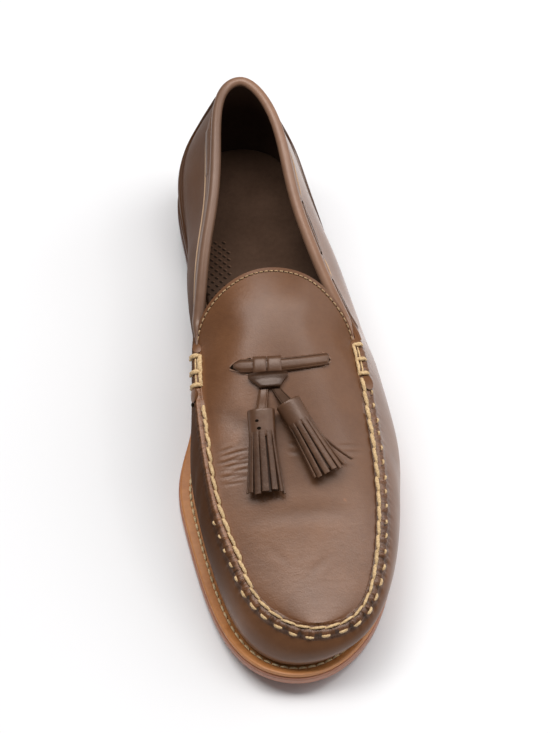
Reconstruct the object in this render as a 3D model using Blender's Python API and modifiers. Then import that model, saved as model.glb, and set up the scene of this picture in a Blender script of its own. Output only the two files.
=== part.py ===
"""Tassel loafer for the left foot: moccasin upper with a raised seam, rolled collar, tassels and leather sole.

Metres, +Z up. The toe points to -Y and the heel to +Y, the lateral side is +X. The forefoot's axis is the Y axis,
and the shoe stands on z = 0 with its outsole centred on the origin.
"""
import math
from collections import namedtuple

import bmesh
import bpy
import numpy as np
from mathutils import Vector

# Driving dimensions
LENGTH = 0.300  # outsole, from the back of the heel to the toe tip
HEEL_SWING = 0.016  # the heel's centre lies this far to the medial side of the forefoot's axis
HEEL_HEIGHT = 0.020  # heel block, floor to the outsole's underside
HEEL_BREAST = 0.074  # station of the heel block's front face
SHANK_START = 0.078  # station where the outsole starts to come down to the floor
FLAT_START = 0.170  # the forefoot rests on the floor between these two stations
FLAT_END = 0.232
TOE_SPRING = 0.0085  # lift of the outsole's underside at the toe tip
OUTSOLE_THICKNESS = 0.0050
WELT_THICKNESS = 0.0028
WELT_SETBACK = 0.0006  # the welt's edge stands back from the outsole's
WELT_REACH = 0.0150  # from the outsole's edge to the welt's inner edge
INSOLE_THICKNESS = 0.0030
WALL = 0.0018  # thickness of the upper's leather
GAP = 0.0003  # between pieces that meet
RIDGE_HEIGHT = 0.0020  # moccasin seam, above the leather beside it
RIDGE_HALF = 0.0029  # half the seam's width
COLLAR_RADIUS = 0.0027  # rolled collar
COLLAR_END_RADIUS = 0.0012
COLLAR_TAPER = 0.022  # length over which the roll thins out towards the seam
LACE_WIDTH = 0.0056
LACE_THICKNESS = 0.0016

MEDIAL, LATERAL = -1, 1

# Outsole edge: station from the back of the heel, then x of the medial and of the lateral edge
Outline = namedtuple("Outline", "station medial lateral")
SOLE_OUTLINE = (
    Outline(0.0000, -0.0160, -0.0160),
    Outline(0.0120, -0.0412, 0.0092),
    Outline(0.0400, -0.0482, 0.0174),
    Outline(0.0800, -0.0434, 0.0268),
    Outline(0.1200, -0.0414, 0.0350),
    Outline(0.1600, -0.0456, 0.0446),
    Outline(0.1900, -0.0522, 0.0526),
    Outline(0.2130, -0.0500, 0.0512),
    Outline(0.2450, -0.0432, 0.0452),
    Outline(0.2770, -0.0322, 0.0332),
    Outline(0.2935, -0.0190, 0.0186),
    Outline(0.3000, 0.0000, 0.0000),
)

# Upper at its lower edge: how far it stands in from the outsole's edge, and how far its wall swells out above that
Lower = namedtuple("Lower", "station inset_medial inset_lateral swell_medial swell_lateral")
LOWER_EDGE = (
    Lower(0.000, 0.0042, 0.0042, 0.0018, 0.0018),
    Lower(0.030, 0.0030, 0.0036, 0.0022, 0.0022),
    Lower(0.065, 0.0034, 0.0036, 0.0026, 0.0040),
    Lower(0.095, 0.0042, 0.0036, 0.0060, 0.0058),
    Lower(0.120, 0.0058, 0.0038, 0.0056, 0.0064),
    Lower(0.155, 0.0080, 0.0044, 0.0006, 0.0056),
    Lower(0.190, 0.0076, 0.0050, 0.0006, 0.0042),
    Lower(0.250, 0.0070, 0.0050, 0.0008, 0.0034),
    Lower(0.300, 0.0062, 0.0062, 0.0024, 0.0024),
)

# Upper at its top edge: the collar as far as the junction, then the crest of the moccasin seam round the toe.
# lean is the wall's angle from upright there, in degrees, towards the inside of the shoe
Top = namedtuple("Top", "station medial lateral height_medial height_lateral lean_medial lean_lateral")
TOP_EDGE = (
    Top(0.0078, -0.0152, -0.0152, 0.0844, 0.0844, 15, 15),
    Top(0.0144, -0.0252, -0.0054, 0.0838, 0.0836, 20, 16),
    Top(0.0280, -0.0291, 0.0016, 0.0818, 0.0808, 23, 16),
    Top(0.0480, -0.0304, 0.0066, 0.0768, 0.0750, 20, 17),
    Top(0.0700, -0.0324, 0.0104, 0.0712, 0.0692, 18, 19),
    Top(0.0950, -0.0367, 0.0170, 0.0670, 0.0652, 16, 22),
    Top(0.1240, -0.0399, 0.0256, 0.0652, 0.0642, 10, 23),
    Top(0.1520, -0.0420, 0.0336, 0.0656, 0.0650, 5, 23),
    Top(0.1780, -0.0412, 0.0370, 0.0628, 0.0622, 9, 26),
    Top(0.2050, -0.0388, 0.0398, 0.0574, 0.0566, 22, 30),
    Top(0.2300, -0.0348, 0.0406, 0.0508, 0.0500, 34, 36),
    Top(0.2520, -0.0284, 0.0386, 0.0448, 0.0444, 42, 42),
    Top(0.2700, -0.0206, 0.0340, 0.0406, 0.0404, 46, 46),
    Top(0.2820, -0.0100, 0.0266, 0.0384, 0.0384, 48, 48),
    Top(0.2885, 0.0084, 0.0084, 0.0376, 0.0376, 50, 50),
)
JUNCTION = 0.1520  # station where collar, tongue and seam meet

# Plug along its spine, from the tongue's tip to the toe
Spine = namedtuple("Spine", "station height")
SPINE = (
    Spine(0.1200, 0.0886),
    Spine(0.1400, 0.0868),
    Spine(0.1580, 0.0818),
    Spine(0.1780, 0.0742),
    Spine(0.2000, 0.0654),
    Spine(0.2250, 0.0564),
    Spine(0.2500, 0.0484),
    Spine(0.2700, 0.0428),
    Spine(0.2885, 0.0384),
)
PLUG_POWER = 2.2  # how flat the plug's cross-section is in its middle
TONGUE_FLATTENING = 0.35  # share of the plug's arch that the tongue has lost at its tip

# Tongue's free edge: station, x of the medial and of the lateral edge
TONGUE_EDGE = (
    Outline(0.1240, -0.0060, -0.0060),
    Outline(0.1290, -0.0252, 0.0144),
    Outline(0.1370, -0.0342, 0.0230),
    Outline(0.1450, -0.0378, 0.0282),
    Outline(0.1520, -0.0391, 0.0307),
)

# Heel counter, a panel on the outside of the wall: share of the wall's height, station of its front edge on each side
Counter = namedtuple("Counter", "rise medial lateral")
COUNTER_EDGE = (
    Counter(0.03, 0.0840, 0.0920),
    Counter(0.12, 0.0740, 0.0820),
    Counter(0.22, 0.0600, 0.0680),
    Counter(0.30, 0.0450, 0.0520),
    Counter(0.36, 0.0320, 0.0380),
    Counter(0.43, 0.0230, 0.0275),
    Counter(0.52, 0.0188, 0.0230),
    Counter(0.68, 0.0168, 0.0206),
    Counter(0.84, 0.0156, 0.0190),
    Counter(0.97, 0.0150, 0.0182),
)
COUNTER_THICKNESS = 0.0010
COUNTER_GAP = 0.0005  # under the panel, which bridges the wall's curve between its own points
COUNTER_STEPS = 16

# Rolled collar and the lace that runs below it: side, first and last station where it shows
COLLAR_END_GAP = 0.002
COLLAR_ROLL_STEPS = 24
SIDE_LACE_DROP = 0.0048  # from the wall's top edge to the middle of what shows of the lace
SIDE_LACE_WIDTH = 0.0034
SIDE_LACE_STEPS = 8
SideLace = namedtuple("SideLace", "name side first last")
SIDE_LACES = (
    SideLace("side_lace_lateral_front", LATERAL, 0.112, 0.143),
    SideLace("side_lace_lateral_mid", LATERAL, 0.068, 0.097),
    SideLace("side_lace_medial_rear", MEDIAL, 0.030, 0.056),
)

# Lace across the plug and its knot, as (x, station)
VAMP_LACE_MEDIAL = (-0.0238, 0.1692)
VAMP_LACE_LATERAL = (0.0200, 0.1670)
VAMP_LACE_BOW = 0.0032  # towards the toe in its middle, where the tassels pull on it
VAMP_LACE_STEPS = 12
KNOT_TURNS = ((-0.0152, -0.0094), (-0.0088, -0.0026))
KNOT_HEIGHT = 0.0034
Bight = namedtuple("Bight", "station medial lateral")
KNOT_BIGHT = (
    Bight(0.1744, -0.0172, -0.0004),
    Bight(0.1758, -0.0178, 0.0002),
    Bight(0.1790, -0.0146, -0.0024),
    Bight(0.1812, -0.0128, -0.0036),
)
LACE_END_WIDTH = 0.0050
LACE_END_RISE = 0.0034
LACE_END_STARTS = ((-0.0112, 0.1818), (-0.0052, 0.1819))

# Tassels: head and fringe tip as (x, station), half widths of the head and of the fringe's end
Tassel = namedtuple("Tassel", "start end length half_width flare")
TASSEL_MEDIAL = Tassel((-0.0124, 0.1914), (-0.0118, 0.2290), 0.0376, 0.0066, 0.0081)
TASSEL_LATERAL = Tassel((-0.0008, 0.1884), (0.0168, 0.2210), 0.0364, 0.0055, 0.0072)
TASSEL_HEAD = 0.0130
TASSEL_HALF_HEIGHT = 0.0046
STRIP_ANGLES = (-22, 6, 34, 62, 90, 118, 146, 174, 202)
STRIP_LENGTHS = (0.97, 0.99, 0.96, 1.0, 0.985, 0.965, 1.0, 0.975, 0.98)
STRIP_SPREAD = 12.0  # half the angle a strip takes up, in degrees

# Mesh resolution
COLLAR_STEPS = 20
SEAM_STEPS = 18
WALL_STEPS = (0.0, 0.12, 0.28, 0.46, 0.64, 0.80, 0.90, 1.0)
PLUG_STEPS = 10
TONGUE_STEPS = 7


def smoothstep(value):
    value = np.clip(value, 0.0, 1.0)
    return value * value * (3 - 2 * value)


def spline(knots, values, at):
    """Natural cubic spline through the knots."""
    knots, values = np.asarray(knots, float), np.asarray(values, float)
    step, slope = np.diff(knots), np.diff(values) / np.diff(knots)
    count = len(knots)
    system, right = np.eye(count), np.zeros(count)
    for i in range(1, count - 1):
        system[i, i - 1 : i + 2] = step[i - 1], 2 * (step[i - 1] + step[i]), step[i]
        right[i] = 6 * (slope[i] - slope[i - 1])
    curve = np.linalg.solve(system, right)
    i = int(np.clip(np.searchsorted(knots, at) - 1, 0, count - 2))
    a, b = knots[i + 1] - at, at - knots[i]
    return (
        (curve[i] * a**3 + curve[i + 1] * b**3) / (6 * step[i])
        + (values[i] / step[i] - curve[i] * step[i] / 6) * a
        + (values[i + 1] / step[i] - curve[i + 1] * step[i] / 6) * b
    )


def phase(table, station):
    """0 at a table's first station, 1 at its last. Even steps of it crowd together at the two round ends."""
    first, last = table[0].station, table[-1].station
    return math.acos(1 - 2 * min(1.0, max(0.0, (station - first) / (last - first)))) / math.pi


def station_at(table, tau):
    first, last = table[0].station, table[-1].station
    return first + (last - first) * (1 - math.cos(math.pi * tau)) / 2


def across(table, column, tau):
    """A sideways column, which closes to a point at round ends, at a phase."""
    return spline([phase(table, row.station) for row in table], [getattr(row, column) for row in table], tau)


def along(table, column, station):
    """A column that runs evenly along the shoe, at a station."""
    station = min(table[-1].station, max(table[0].station, station))
    return spline([row.station for row in table], [getattr(row, column) for row in table], station)


def side_name(side):
    return "medial" if side == MEDIAL else "lateral"


def y_of(station):
    return LENGTH / 2 - station


def sole_bottom(station):
    """Height of the outsole's underside: heel seat, shank, flat forefoot and toe spring."""
    shank = smoothstep((station - SHANK_START) / (FLAT_START - SHANK_START))
    toe = max(0.0, (station - FLAT_END) / (LENGTH - FLAT_END))
    return HEEL_HEIGHT * (1 - shank) + TOE_SPRING * toe**2


def welt_bottom(station):
    return sole_bottom(station) + OUTSOLE_THICKNESS + GAP


def seat(station):
    """Height of what stands on the welt: the upper's lower edge and the insole."""
    return welt_bottom(station) + WELT_THICKNESS + GAP


def outline_point(table, tau, side):
    return np.array([across(table, side_name(side), tau), y_of(station_at(table, tau))])


def outward(table, tau, side):
    """Level unit vector out of an outline."""
    step = 1e-4
    if tau <= step:
        return np.array([0.0, 1.0])
    if tau >= 1 - step:
        return np.array([0.0, -1.0])
    tangent = outline_point(table, tau + step, side) - outline_point(table, tau - step, side)
    normal = np.array([tangent[1], -tangent[0]]) * -side
    return normal / np.linalg.norm(normal)


def inset_outline(tau, side, inset):
    """A point of the outsole's edge moved in by inset: plan x, y and station."""
    x, y = outline_point(SOLE_OUTLINE, tau, side) - outward(SOLE_OUTLINE, tau, side) * inset
    return x, y, LENGTH / 2 - y


def lower_inset(tau, side):
    return along(LOWER_EDGE, "inset_" + side_name(side), station_at(SOLE_OUTLINE, tau))


def lower_point(tau, side):
    x, y, station = inset_outline(tau, side, lower_inset(tau, side))
    return np.array([x, y, seat(station)])


def top_point(tau, side):
    x, y = outline_point(TOP_EDGE, tau, side)
    return np.array([x, y, along(TOP_EDGE, "height_" + side_name(side), station_at(TOP_EDGE, tau))])


JUNCTION_TAU = phase(TOP_EDGE, JUNCTION)


def ridge_share(tau):
    """0 along the collar, 1 along the moccasin seam."""
    return float(smoothstep((tau - JUNCTION_TAU + 0.06) / 0.06))


def top_direction(tau, side):
    """Unit vector along the wall at its top edge, upwards."""
    out = outward(TOP_EDGE, tau, side)
    lean = math.radians(along(TOP_EDGE, "lean_" + side_name(side), station_at(TOP_EDGE, tau)))
    return np.array([-out[0] * math.sin(lean), -out[1] * math.sin(lean), math.cos(lean)])


def ridge_foot(tau, side):
    """Where the wall ends and the seam's ridge starts, or a little below the collar."""
    out = outward(TOP_EDGE, tau, side)
    at_seam = np.array([out[0] * RIDGE_HALF, out[1] * RIDGE_HALF, -RIDGE_HEIGHT * 1.3])
    at_collar = -top_direction(tau, side) * RIDGE_HALF
    share = ridge_share(tau)
    return top_point(tau, side) + share * at_seam + (1 - share) * at_collar


def wall_point(tau, side, rise):
    """A point of the wall's outer face: rise is 0 at the lower edge and 1 at the ridge's foot."""
    low, high = lower_point(tau, side), ridge_foot(tau, side)
    reach = np.linalg.norm(high - low) * 0.38
    out = outward(SOLE_OUTLINE, tau, side)
    swell = along(LOWER_EDGE, "swell_" + side_name(side), station_at(SOLE_OUTLINE, tau)) * 2.25
    low_handle = low + np.array([out[0] * swell, out[1] * swell, reach])
    high_handle = high - top_direction(tau, side) * reach
    keep = 1 - rise
    return (
        keep**3 * low + 3 * keep**2 * rise * low_handle + 3 * keep * rise**2 * high_handle + rise**3 * high
    )


def wall_normal(tau, side, rise):
    step = 1e-3
    along_loop = wall_point(tau + step, side, rise) - wall_point(tau - step, side, rise)
    up = wall_point(tau, side, min(1.0, rise + step)) - wall_point(tau, side, max(0.0, rise - step))
    normal = np.cross(along_loop, up) * -side
    return normal / np.linalg.norm(normal)


def seam_x(side, station):
    return across(TOP_EDGE, side_name(side), phase(TOP_EDGE, station))


def plug_height(x, station):
    """Height of the plug and tongue over a point of the plan."""
    medial, lateral = seam_x(MEDIAL, max(station, JUNCTION)), seam_x(LATERAL, max(station, JUNCTION))
    share = (x - medial) / (lateral - medial)
    low = along(TOP_EDGE, "height_medial", station) * (1 - share) + along(TOP_EDGE, "height_lateral", station) * share
    spine = along(SPINE, "height", station)
    if station < JUNCTION:
        arch = along(SPINE, "height", JUNCTION) - along(TOP_EDGE, "height_medial", JUNCTION)
        low = spine - arch * (1 - TONGUE_FLATTENING * (JUNCTION - station) / (JUNCTION - TONGUE_EDGE[0].station))
    low -= RIDGE_HEIGHT
    return low + (spine - low) * (1 - abs(2 * share - 1) ** PLUG_POWER)


def lay(x, station, height):
    """A point at a height over the plug, along the plug's own normal."""
    step = 1e-4
    slope_x = (plug_height(x + step, station) - plug_height(x - step, station)) / (2 * step)
    slope_s = (plug_height(x, station + step) - plug_height(x, station - step)) / (2 * step)
    normal = np.array([-slope_x, slope_s, 1.0])
    normal /= np.linalg.norm(normal)
    return np.array([x, y_of(station), plug_height(x, station)]) + normal * height


def ridge_inner(tau, side):
    """Plan point where the seam's ridge meets the plug."""
    x, y = outline_point(TOP_EDGE, tau, side) - outward(TOP_EDGE, tau, side) * RIDGE_HALF
    return x, LENGTH / 2 - y


def make_material(name, colour, roughness):
    material = bpy.data.materials.new(name)
    material.use_nodes = True
    shader = material.node_tree.nodes["Principled BSDF"]
    shader.inputs["Base Color"].default_value = (*colour, 1.0)
    shader.inputs["Roughness"].default_value = roughness
    shader.inputs["Metallic"].default_value = 0.0
    return material


def make_object(name, points, faces, material, closed=True):
    """An object of the shoe: the faces of a closed body are all turned outwards."""
    mesh = bpy.data.meshes.new(name)
    mesh.from_pydata([tuple(map(float, point)) for point in points], [], faces)
    if closed:
        turned = bmesh.new()
        turned.from_mesh(mesh)
        bmesh.ops.recalc_face_normals(turned, faces=turned.faces)
        turned.to_mesh(mesh)
        turned.free()
    mesh.shade_smooth()
    mesh.set_sharp_from_angle(angle=math.radians(40))
    mesh.materials.append(material)
    made = bpy.data.objects.new(name, mesh)
    PARTS.objects.link(made)
    return made


def loop_columns(steps):
    """(phase, side) round a closed outline: up the medial side to the toe and back down the lateral side."""
    return [(tau, MEDIAL) for tau in steps] + [(tau, LATERAL) for tau in steps[-2:0:-1]]


def upper_steps():
    collar = [JUNCTION_TAU * i / COLLAR_STEPS for i in range(COLLAR_STEPS)]
    seam = [JUNCTION_TAU + (1 - JUNCTION_TAU) * i / SEAM_STEPS for i in range(SEAM_STEPS + 1)]
    return collar + seam


def ridge_column(tau, side):
    """Shoulder and crest of the seam's ridge, above the wall's last point."""
    foot, crest = ridge_foot(tau, side), top_point(tau, side)
    out = outward(TOP_EDGE, tau, side)
    puff = ridge_share(tau) * RIDGE_HEIGHT * 0.35
    shoulder = (foot + crest) / 2 + np.array([out[0] * puff, out[1] * puff, puff])
    return [shoulder, crest]


def inner_ridge(tau, side):
    """The ridge's inner shoulder and the plug's edge."""
    x, station = ridge_inner(tau, side)
    edge = np.array([x, y_of(station), plug_height(x, station)])
    shoulder = (edge + top_point(tau, side)) / 2 + np.array([0.0, 0.0, RIDGE_HEIGHT * 0.35])
    return [shoulder, edge]


def make_upper(material):
    """One shell: the moccasin wall all round, the raised seam, and the plug that runs back into the tongue."""
    steps = upper_steps()
    columns = loop_columns(steps)
    points, faces = [], []

    def add(point):
        points.append(point)
        return len(points) - 1

    wall = []
    for tau, side in columns:
        column = [wall_point(tau, side, rise) for rise in WALL_STEPS] + ridge_column(tau, side)
        wall.append([add(point) for point in column])
    for i, column in enumerate(wall):
        after = wall[(i + 1) % len(wall)]
        faces += [(column[k], after[k], after[k + 1], column[k + 1]) for k in range(len(column) - 1)]

    toe = len(steps) - 1
    shares = np.linspace(0, 1, PLUG_STEPS + 1)
    rows = []
    for i in range(COLLAR_STEPS, toe):
        medial_edge = [add(point) for point in inner_ridge(steps[i], MEDIAL)]
        lateral_edge = [add(point) for point in inner_ridge(steps[i], LATERAL)]
        low, high = ridge_inner(steps[i], MEDIAL), ridge_inner(steps[i], LATERAL)
        middle = []
        for share in shares[1:-1]:
            x, station = np.add(low, share * np.subtract(high, low))
            middle.append(add(np.array([x, y_of(station), plug_height(x, station)])))
        rows.append(
            [wall[i][-1], *medial_edge, *middle, *reversed(lateral_edge), wall[len(columns) - i][-1]]
        )
    for row, after in zip(rows, rows[1:]):
        faces += [(row[k], after[k], after[k + 1], row[k + 1]) for k in range(len(row) - 1)]
    tip = [wall[toe][-1]] + [add(point) for point in inner_ridge(steps[toe], MEDIAL)]
    last = rows[-1]
    for k in range(2):
        faces.append((last[k], tip[k], tip[k + 1], last[k + 1]))
        faces.append((last[-2 - k], tip[k + 1], tip[k], last[-1 - k]))
    faces += [(last[k], tip[2], last[k + 1]) for k in range(2, len(last) - 3)]

    row = rows[0][2:-2]
    for j in range(1, TONGUE_STEPS):
        turn = 1 - j / TONGUE_STEPS
        medial, lateral, station = tongue_edge(turn)
        after = []
        for share in shares:
            x = medial + share * (lateral - medial)
            after.append(add(np.array([x, y_of(station), plug_height(x, station)])))
        faces += [(after[k], row[k], row[k + 1], after[k + 1]) for k in range(PLUG_STEPS)]
        row = after
    x, _, station = tongue_edge(0.0)
    end = add(np.array([x, y_of(station), plug_height(x, station)]))
    faces += [(end, row[k], row[k + 1]) for k in range(PLUG_STEPS)]

    upper = make_object("upper", points, faces, material, closed=False)
    shell = upper.modifiers.new("leather", "SOLIDIFY")
    shell.thickness = WALL
    shell.offset = -1.0
    return upper


def tongue_edge(turn):
    """Medial x, lateral x and station of the tongue's edge: turn is 0 at its tip and 1 at the junction."""
    first, last = TONGUE_EDGE[0].station, TONGUE_EDGE[-1].station
    turns = [math.acos(1 - (row.station - first) / (last - first)) * 2 / math.pi for row in TONGUE_EDGE]
    station = first + (last - first) * (1 - math.cos(turn * math.pi / 2))
    medial = spline(turns, [row.medial for row in TONGUE_EDGE], turn)
    lateral = spline(turns, [row.lateral for row in TONGUE_EDGE], turn)
    return medial, lateral, station


PLATE_STEPS = 4


def make_plate(name, inset_of, low_of, high_of, edge_round, material):
    """A sole layer: edge_round takes the corners off its edge, above and below."""
    steps = upper_steps()
    columns = loop_columns(steps)
    toe = len(steps) - 1
    points, faces = [], []
    rings = []
    for height_of, shift, inset_more in (
        (low_of, 0.0, edge_round),
        (low_of, edge_round, 0.0),
        (high_of, -edge_round, 0.0),
        (high_of, 0.0, edge_round),
    ):
        ring = []
        for tau, side in columns:
            x, y, station = inset_outline(tau, side, inset_of(tau, side) + inset_more)
            points.append((x, y, height_of(station) + shift))
            ring.append(len(points) - 1)
        rings.append(ring)
    count = len(columns)
    for low, high in zip(rings, rings[1:]):
        faces += [(low[(i + 1) % count], low[i], high[i], high[(i + 1) % count]) for i in range(count)]
    for ring, height_of in ((rings[0], low_of), (rings[-1], high_of)):
        row = None
        for i in range(1, toe):
            medial, lateral = ring[i], ring[count - i]
            after = [medial]
            for share in np.linspace(0, 1, PLATE_STEPS + 1)[1:-1]:
                x, y, _ = np.add(points[medial], share * np.subtract(points[lateral], points[medial]))
                points.append((x, y, height_of(LENGTH / 2 - y)))
                after.append(len(points) - 1)
            after.append(lateral)
            if row is None:
                faces += [(ring[0], after[k + 1], after[k]) for k in range(PLATE_STEPS)]
            else:
                faces += [(row[k], row[k + 1], after[k + 1], after[k]) for k in range(PLATE_STEPS)]
            row = after
        faces += [(row[k], row[k + 1], ring[toe]) for k in range(PLATE_STEPS)]
    return make_object(name, points, faces, material)


def make_outsole(material):
    return make_plate(
        "outsole",
        lambda tau, side: 0.0,
        sole_bottom,
        lambda station: sole_bottom(station) + OUTSOLE_THICKNESS,
        0.0007,
        material,
    )


def make_insole(material):
    return make_plate(
        "insole",
        lambda tau, side: lower_inset(tau, side) + WALL + 2 * GAP,
        seat,
        lambda station: seat(station) + INSOLE_THICKNESS,
        0.0005,
        material,
    )


def make_welt(material):
    """A strip all round, on the outsole and under the upper."""
    columns = loop_columns(upper_steps())
    points, faces = [], []
    for tau, side in columns:
        for inset, rise in (
            (WELT_SETBACK, 0.0),
            (WELT_SETBACK, WELT_THICKNESS - 0.0005),
            (WELT_SETBACK + 0.0005, WELT_THICKNESS),
            (WELT_REACH, WELT_THICKNESS),
            (WELT_REACH, 0.0),
        ):
            x, y, station = inset_outline(tau, side, inset)
            points.append((x, y, welt_bottom(station) + rise))
    count, around = len(columns), 5
    for i in range(count):
        here, after = i * around, (i + 1) % count * around
        for k in range(around):
            m = (k + 1) % around
            faces.append((after + k, here + k, here + m, after + m))
    return make_object("welt", points, faces, material)


HEEL_STEPS = 14
HEEL_TAPER = 0.0016
HEEL_SETBACK = 0.0004


def make_heel(material):
    """Stacked heel block: the outsole's own outline as far as the breast, a little smaller on the floor."""
    breast = phase(SOLE_OUTLINE, HEEL_BREAST)
    steps = [breast * (1 - i / HEEL_STEPS) for i in range(HEEL_STEPS)]
    columns = [(tau, MEDIAL) for tau in steps] + [(0.0, MEDIAL)] + [(tau, LATERAL) for tau in reversed(steps)]
    points, faces = [], []
    for height, inset in ((0.0, HEEL_SETBACK + HEEL_TAPER), (HEEL_HEIGHT - GAP, HEEL_SETBACK)):
        for tau, side in columns:
            x, y, _ = inset_outline(tau, side, inset)
            points.append((x, y, height))
    count = len(columns)
    faces.append(tuple(range(count)))
    faces.append(tuple(range(2 * count - 1, count - 1, -1)))
    for i in range(count):
        after = (i + 1) % count
        faces.append((after, i, count + i, count + after))
    return make_object("heel", points, faces, material)


def collar_radius(station):
    share = float(smoothstep((JUNCTION - station) / COLLAR_TAPER))
    return COLLAR_END_RADIUS + (COLLAR_RADIUS - COLLAR_END_RADIUS) * share


def collar_centre(tau, side):
    """Centre of the rolled collar, which stands on the wall's top edge."""
    out = outward(TOP_EDGE, tau, side)
    lean = math.radians(along(TOP_EDGE, "lean_" + side_name(side), station_at(TOP_EDGE, tau)))
    inward = np.array([-out[0] * math.cos(lean), -out[1] * math.cos(lean), -math.sin(lean)])
    rise = collar_radius(station_at(TOP_EDGE, tau)) + GAP
    return top_point(tau, side) + inward * WALL / 2 + top_direction(tau, side) * rise


def make_collar(material):
    """Rolled collar from one end of the seam round the heel to the other."""
    end = phase(TOP_EDGE, JUNCTION - COLLAR_END_GAP)
    steps = [end * i / COLLAR_ROLL_STEPS for i in range(COLLAR_ROLL_STEPS + 1)]
    columns = [(tau, MEDIAL) for tau in reversed(steps)] + [(tau, LATERAL) for tau in steps[1:]]
    curve = bpy.data.curves.new("collar_binding", "CURVE")
    curve.dimensions = "3D"
    curve.bevel_depth = COLLAR_RADIUS
    curve.bevel_resolution = 2
    curve.use_fill_caps = True
    roll = curve.splines.new("POLY")
    roll.points.add(len(columns) - 1)
    for point, (tau, side) in zip(roll.points, columns):
        point.co = (*collar_centre(tau, side), 1.0)
        point.radius = collar_radius(station_at(TOP_EDGE, tau)) / COLLAR_RADIUS
    curve.materials.append(material)
    made = bpy.data.objects.new("collar_binding", curve)
    PARTS.objects.link(made)
    return made


def make_slab(name, low, high, material, collection=None):
    """A closed body between two grids of points that face each other."""
    rows, count = len(low), len(low[0])
    points = [point for row in low for point in row] + [point for row in high for point in row]
    faces = []
    for level in (0, rows * count):
        for i in range(rows - 1):
            for k in range(count - 1):
                a = level + i * count + k
                faces.append((a, a + 1, a + count + 1, a + count))
    top = rows * count
    rim = [k for k in range(count)]
    rim += [i * count + count - 1 for i in range(1, rows)]
    rim += [(rows - 1) * count + k for k in range(count - 2, -1, -1)]
    rim += [i * count for i in range(rows - 2, 0, -1)]
    for here, after in zip(rim, rim[1:] + rim[:1]):
        faces.append((here, after, top + after, top + here))
    made = make_object(name, points, faces, material)
    if collection:
        PARTS.objects.unlink(made)
        collection.objects.link(made)
        made.hide_render = True
        made.display_type = "WIRE"
    return made


def lace_section(width):
    """Offsets across a lace and the share of its thickness there: its long edges are rounded."""
    edge = 0.0007
    return ((-width / 2, 0.45), (-width / 2 + edge, 1.0), (width / 2 - edge, 1.0), (width / 2, 0.45))


def make_side_lace(name, side, first, last, material):
    """The lace where it shows between two slots of the quarter, just below the collar."""
    low, high = [], []
    for i in range(SIDE_LACE_STEPS + 1):
        tau = phase(TOP_EDGE, first + (last - first) * i / SIDE_LACE_STEPS)
        reach = np.linalg.norm(ridge_foot(tau, side) - lower_point(tau, side)) * 1.14
        flat = min(1.0, 3.0 * min(i, SIDE_LACE_STEPS - i) / SIDE_LACE_STEPS + 0.35)
        low_row, high_row = [], []
        for offset, share in lace_section(SIDE_LACE_WIDTH):
            rise = 1 - (SIDE_LACE_DROP - RIDGE_HALF + offset) / reach
            point, normal = wall_point(tau, side, rise), wall_normal(tau, side, rise)
            low_row.append(point + normal * GAP)
            high_row.append(point + normal * (GAP + LACE_THICKNESS * share * flat))
        low.append(low_row)
        high.append(high_row)
    return make_slab(name, low, high, material)


def make_heel_counter(material):
    """A panel round the back of the wall, high in its middle and low at its two ends."""
    low, high = [], []
    for row in COUNTER_EDGE:
        medial, lateral = phase(TOP_EDGE, row.medial), phase(TOP_EDGE, row.lateral)
        columns = [(medial * (1 - i / COUNTER_STEPS), MEDIAL) for i in range(COUNTER_STEPS)]
        columns += [(lateral * i / COUNTER_STEPS, LATERAL) for i in range(COUNTER_STEPS + 1)]
        low_row, high_row = [], []
        for tau, side in columns:
            point, normal = wall_point(tau, side, row.rise), wall_normal(tau, side, row.rise)
            low_row.append(point + normal * COUNTER_GAP)
            high_row.append(point + normal * (COUNTER_GAP + COUNTER_THICKNESS))
        low.append(low_row)
        high.append(high_row)
    return make_slab("heel_counter", low, high, material)


def lace_station(x):
    """Station of the vamp lace's middle at an x."""
    (first, low), (last, high) = VAMP_LACE_MEDIAL, VAMP_LACE_LATERAL
    share = (x - first) / (last - first)
    return low + (high - low) * share + VAMP_LACE_BOW * 4 * share * (1 - share)


def make_vamp_lace(material):
    """The lace where it crosses the plug between two slots."""
    low, high = [], []
    for i in range(VAMP_LACE_STEPS + 1):
        share_along = i / VAMP_LACE_STEPS
        x = VAMP_LACE_MEDIAL[0] + share_along * (VAMP_LACE_LATERAL[0] - VAMP_LACE_MEDIAL[0])
        station = lace_station(x)
        flat = min(1.0, 6.0 * min(share_along, 1 - share_along) + 0.35)
        section = lace_section(LACE_WIDTH)
        low.append([lay(x, station + offset, GAP) for offset, _ in section])
        high.append([lay(x, station + offset, GAP + LACE_THICKNESS * share * flat) for offset, share in section])
    return make_slab("vamp_lace", low, high, material)


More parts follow.
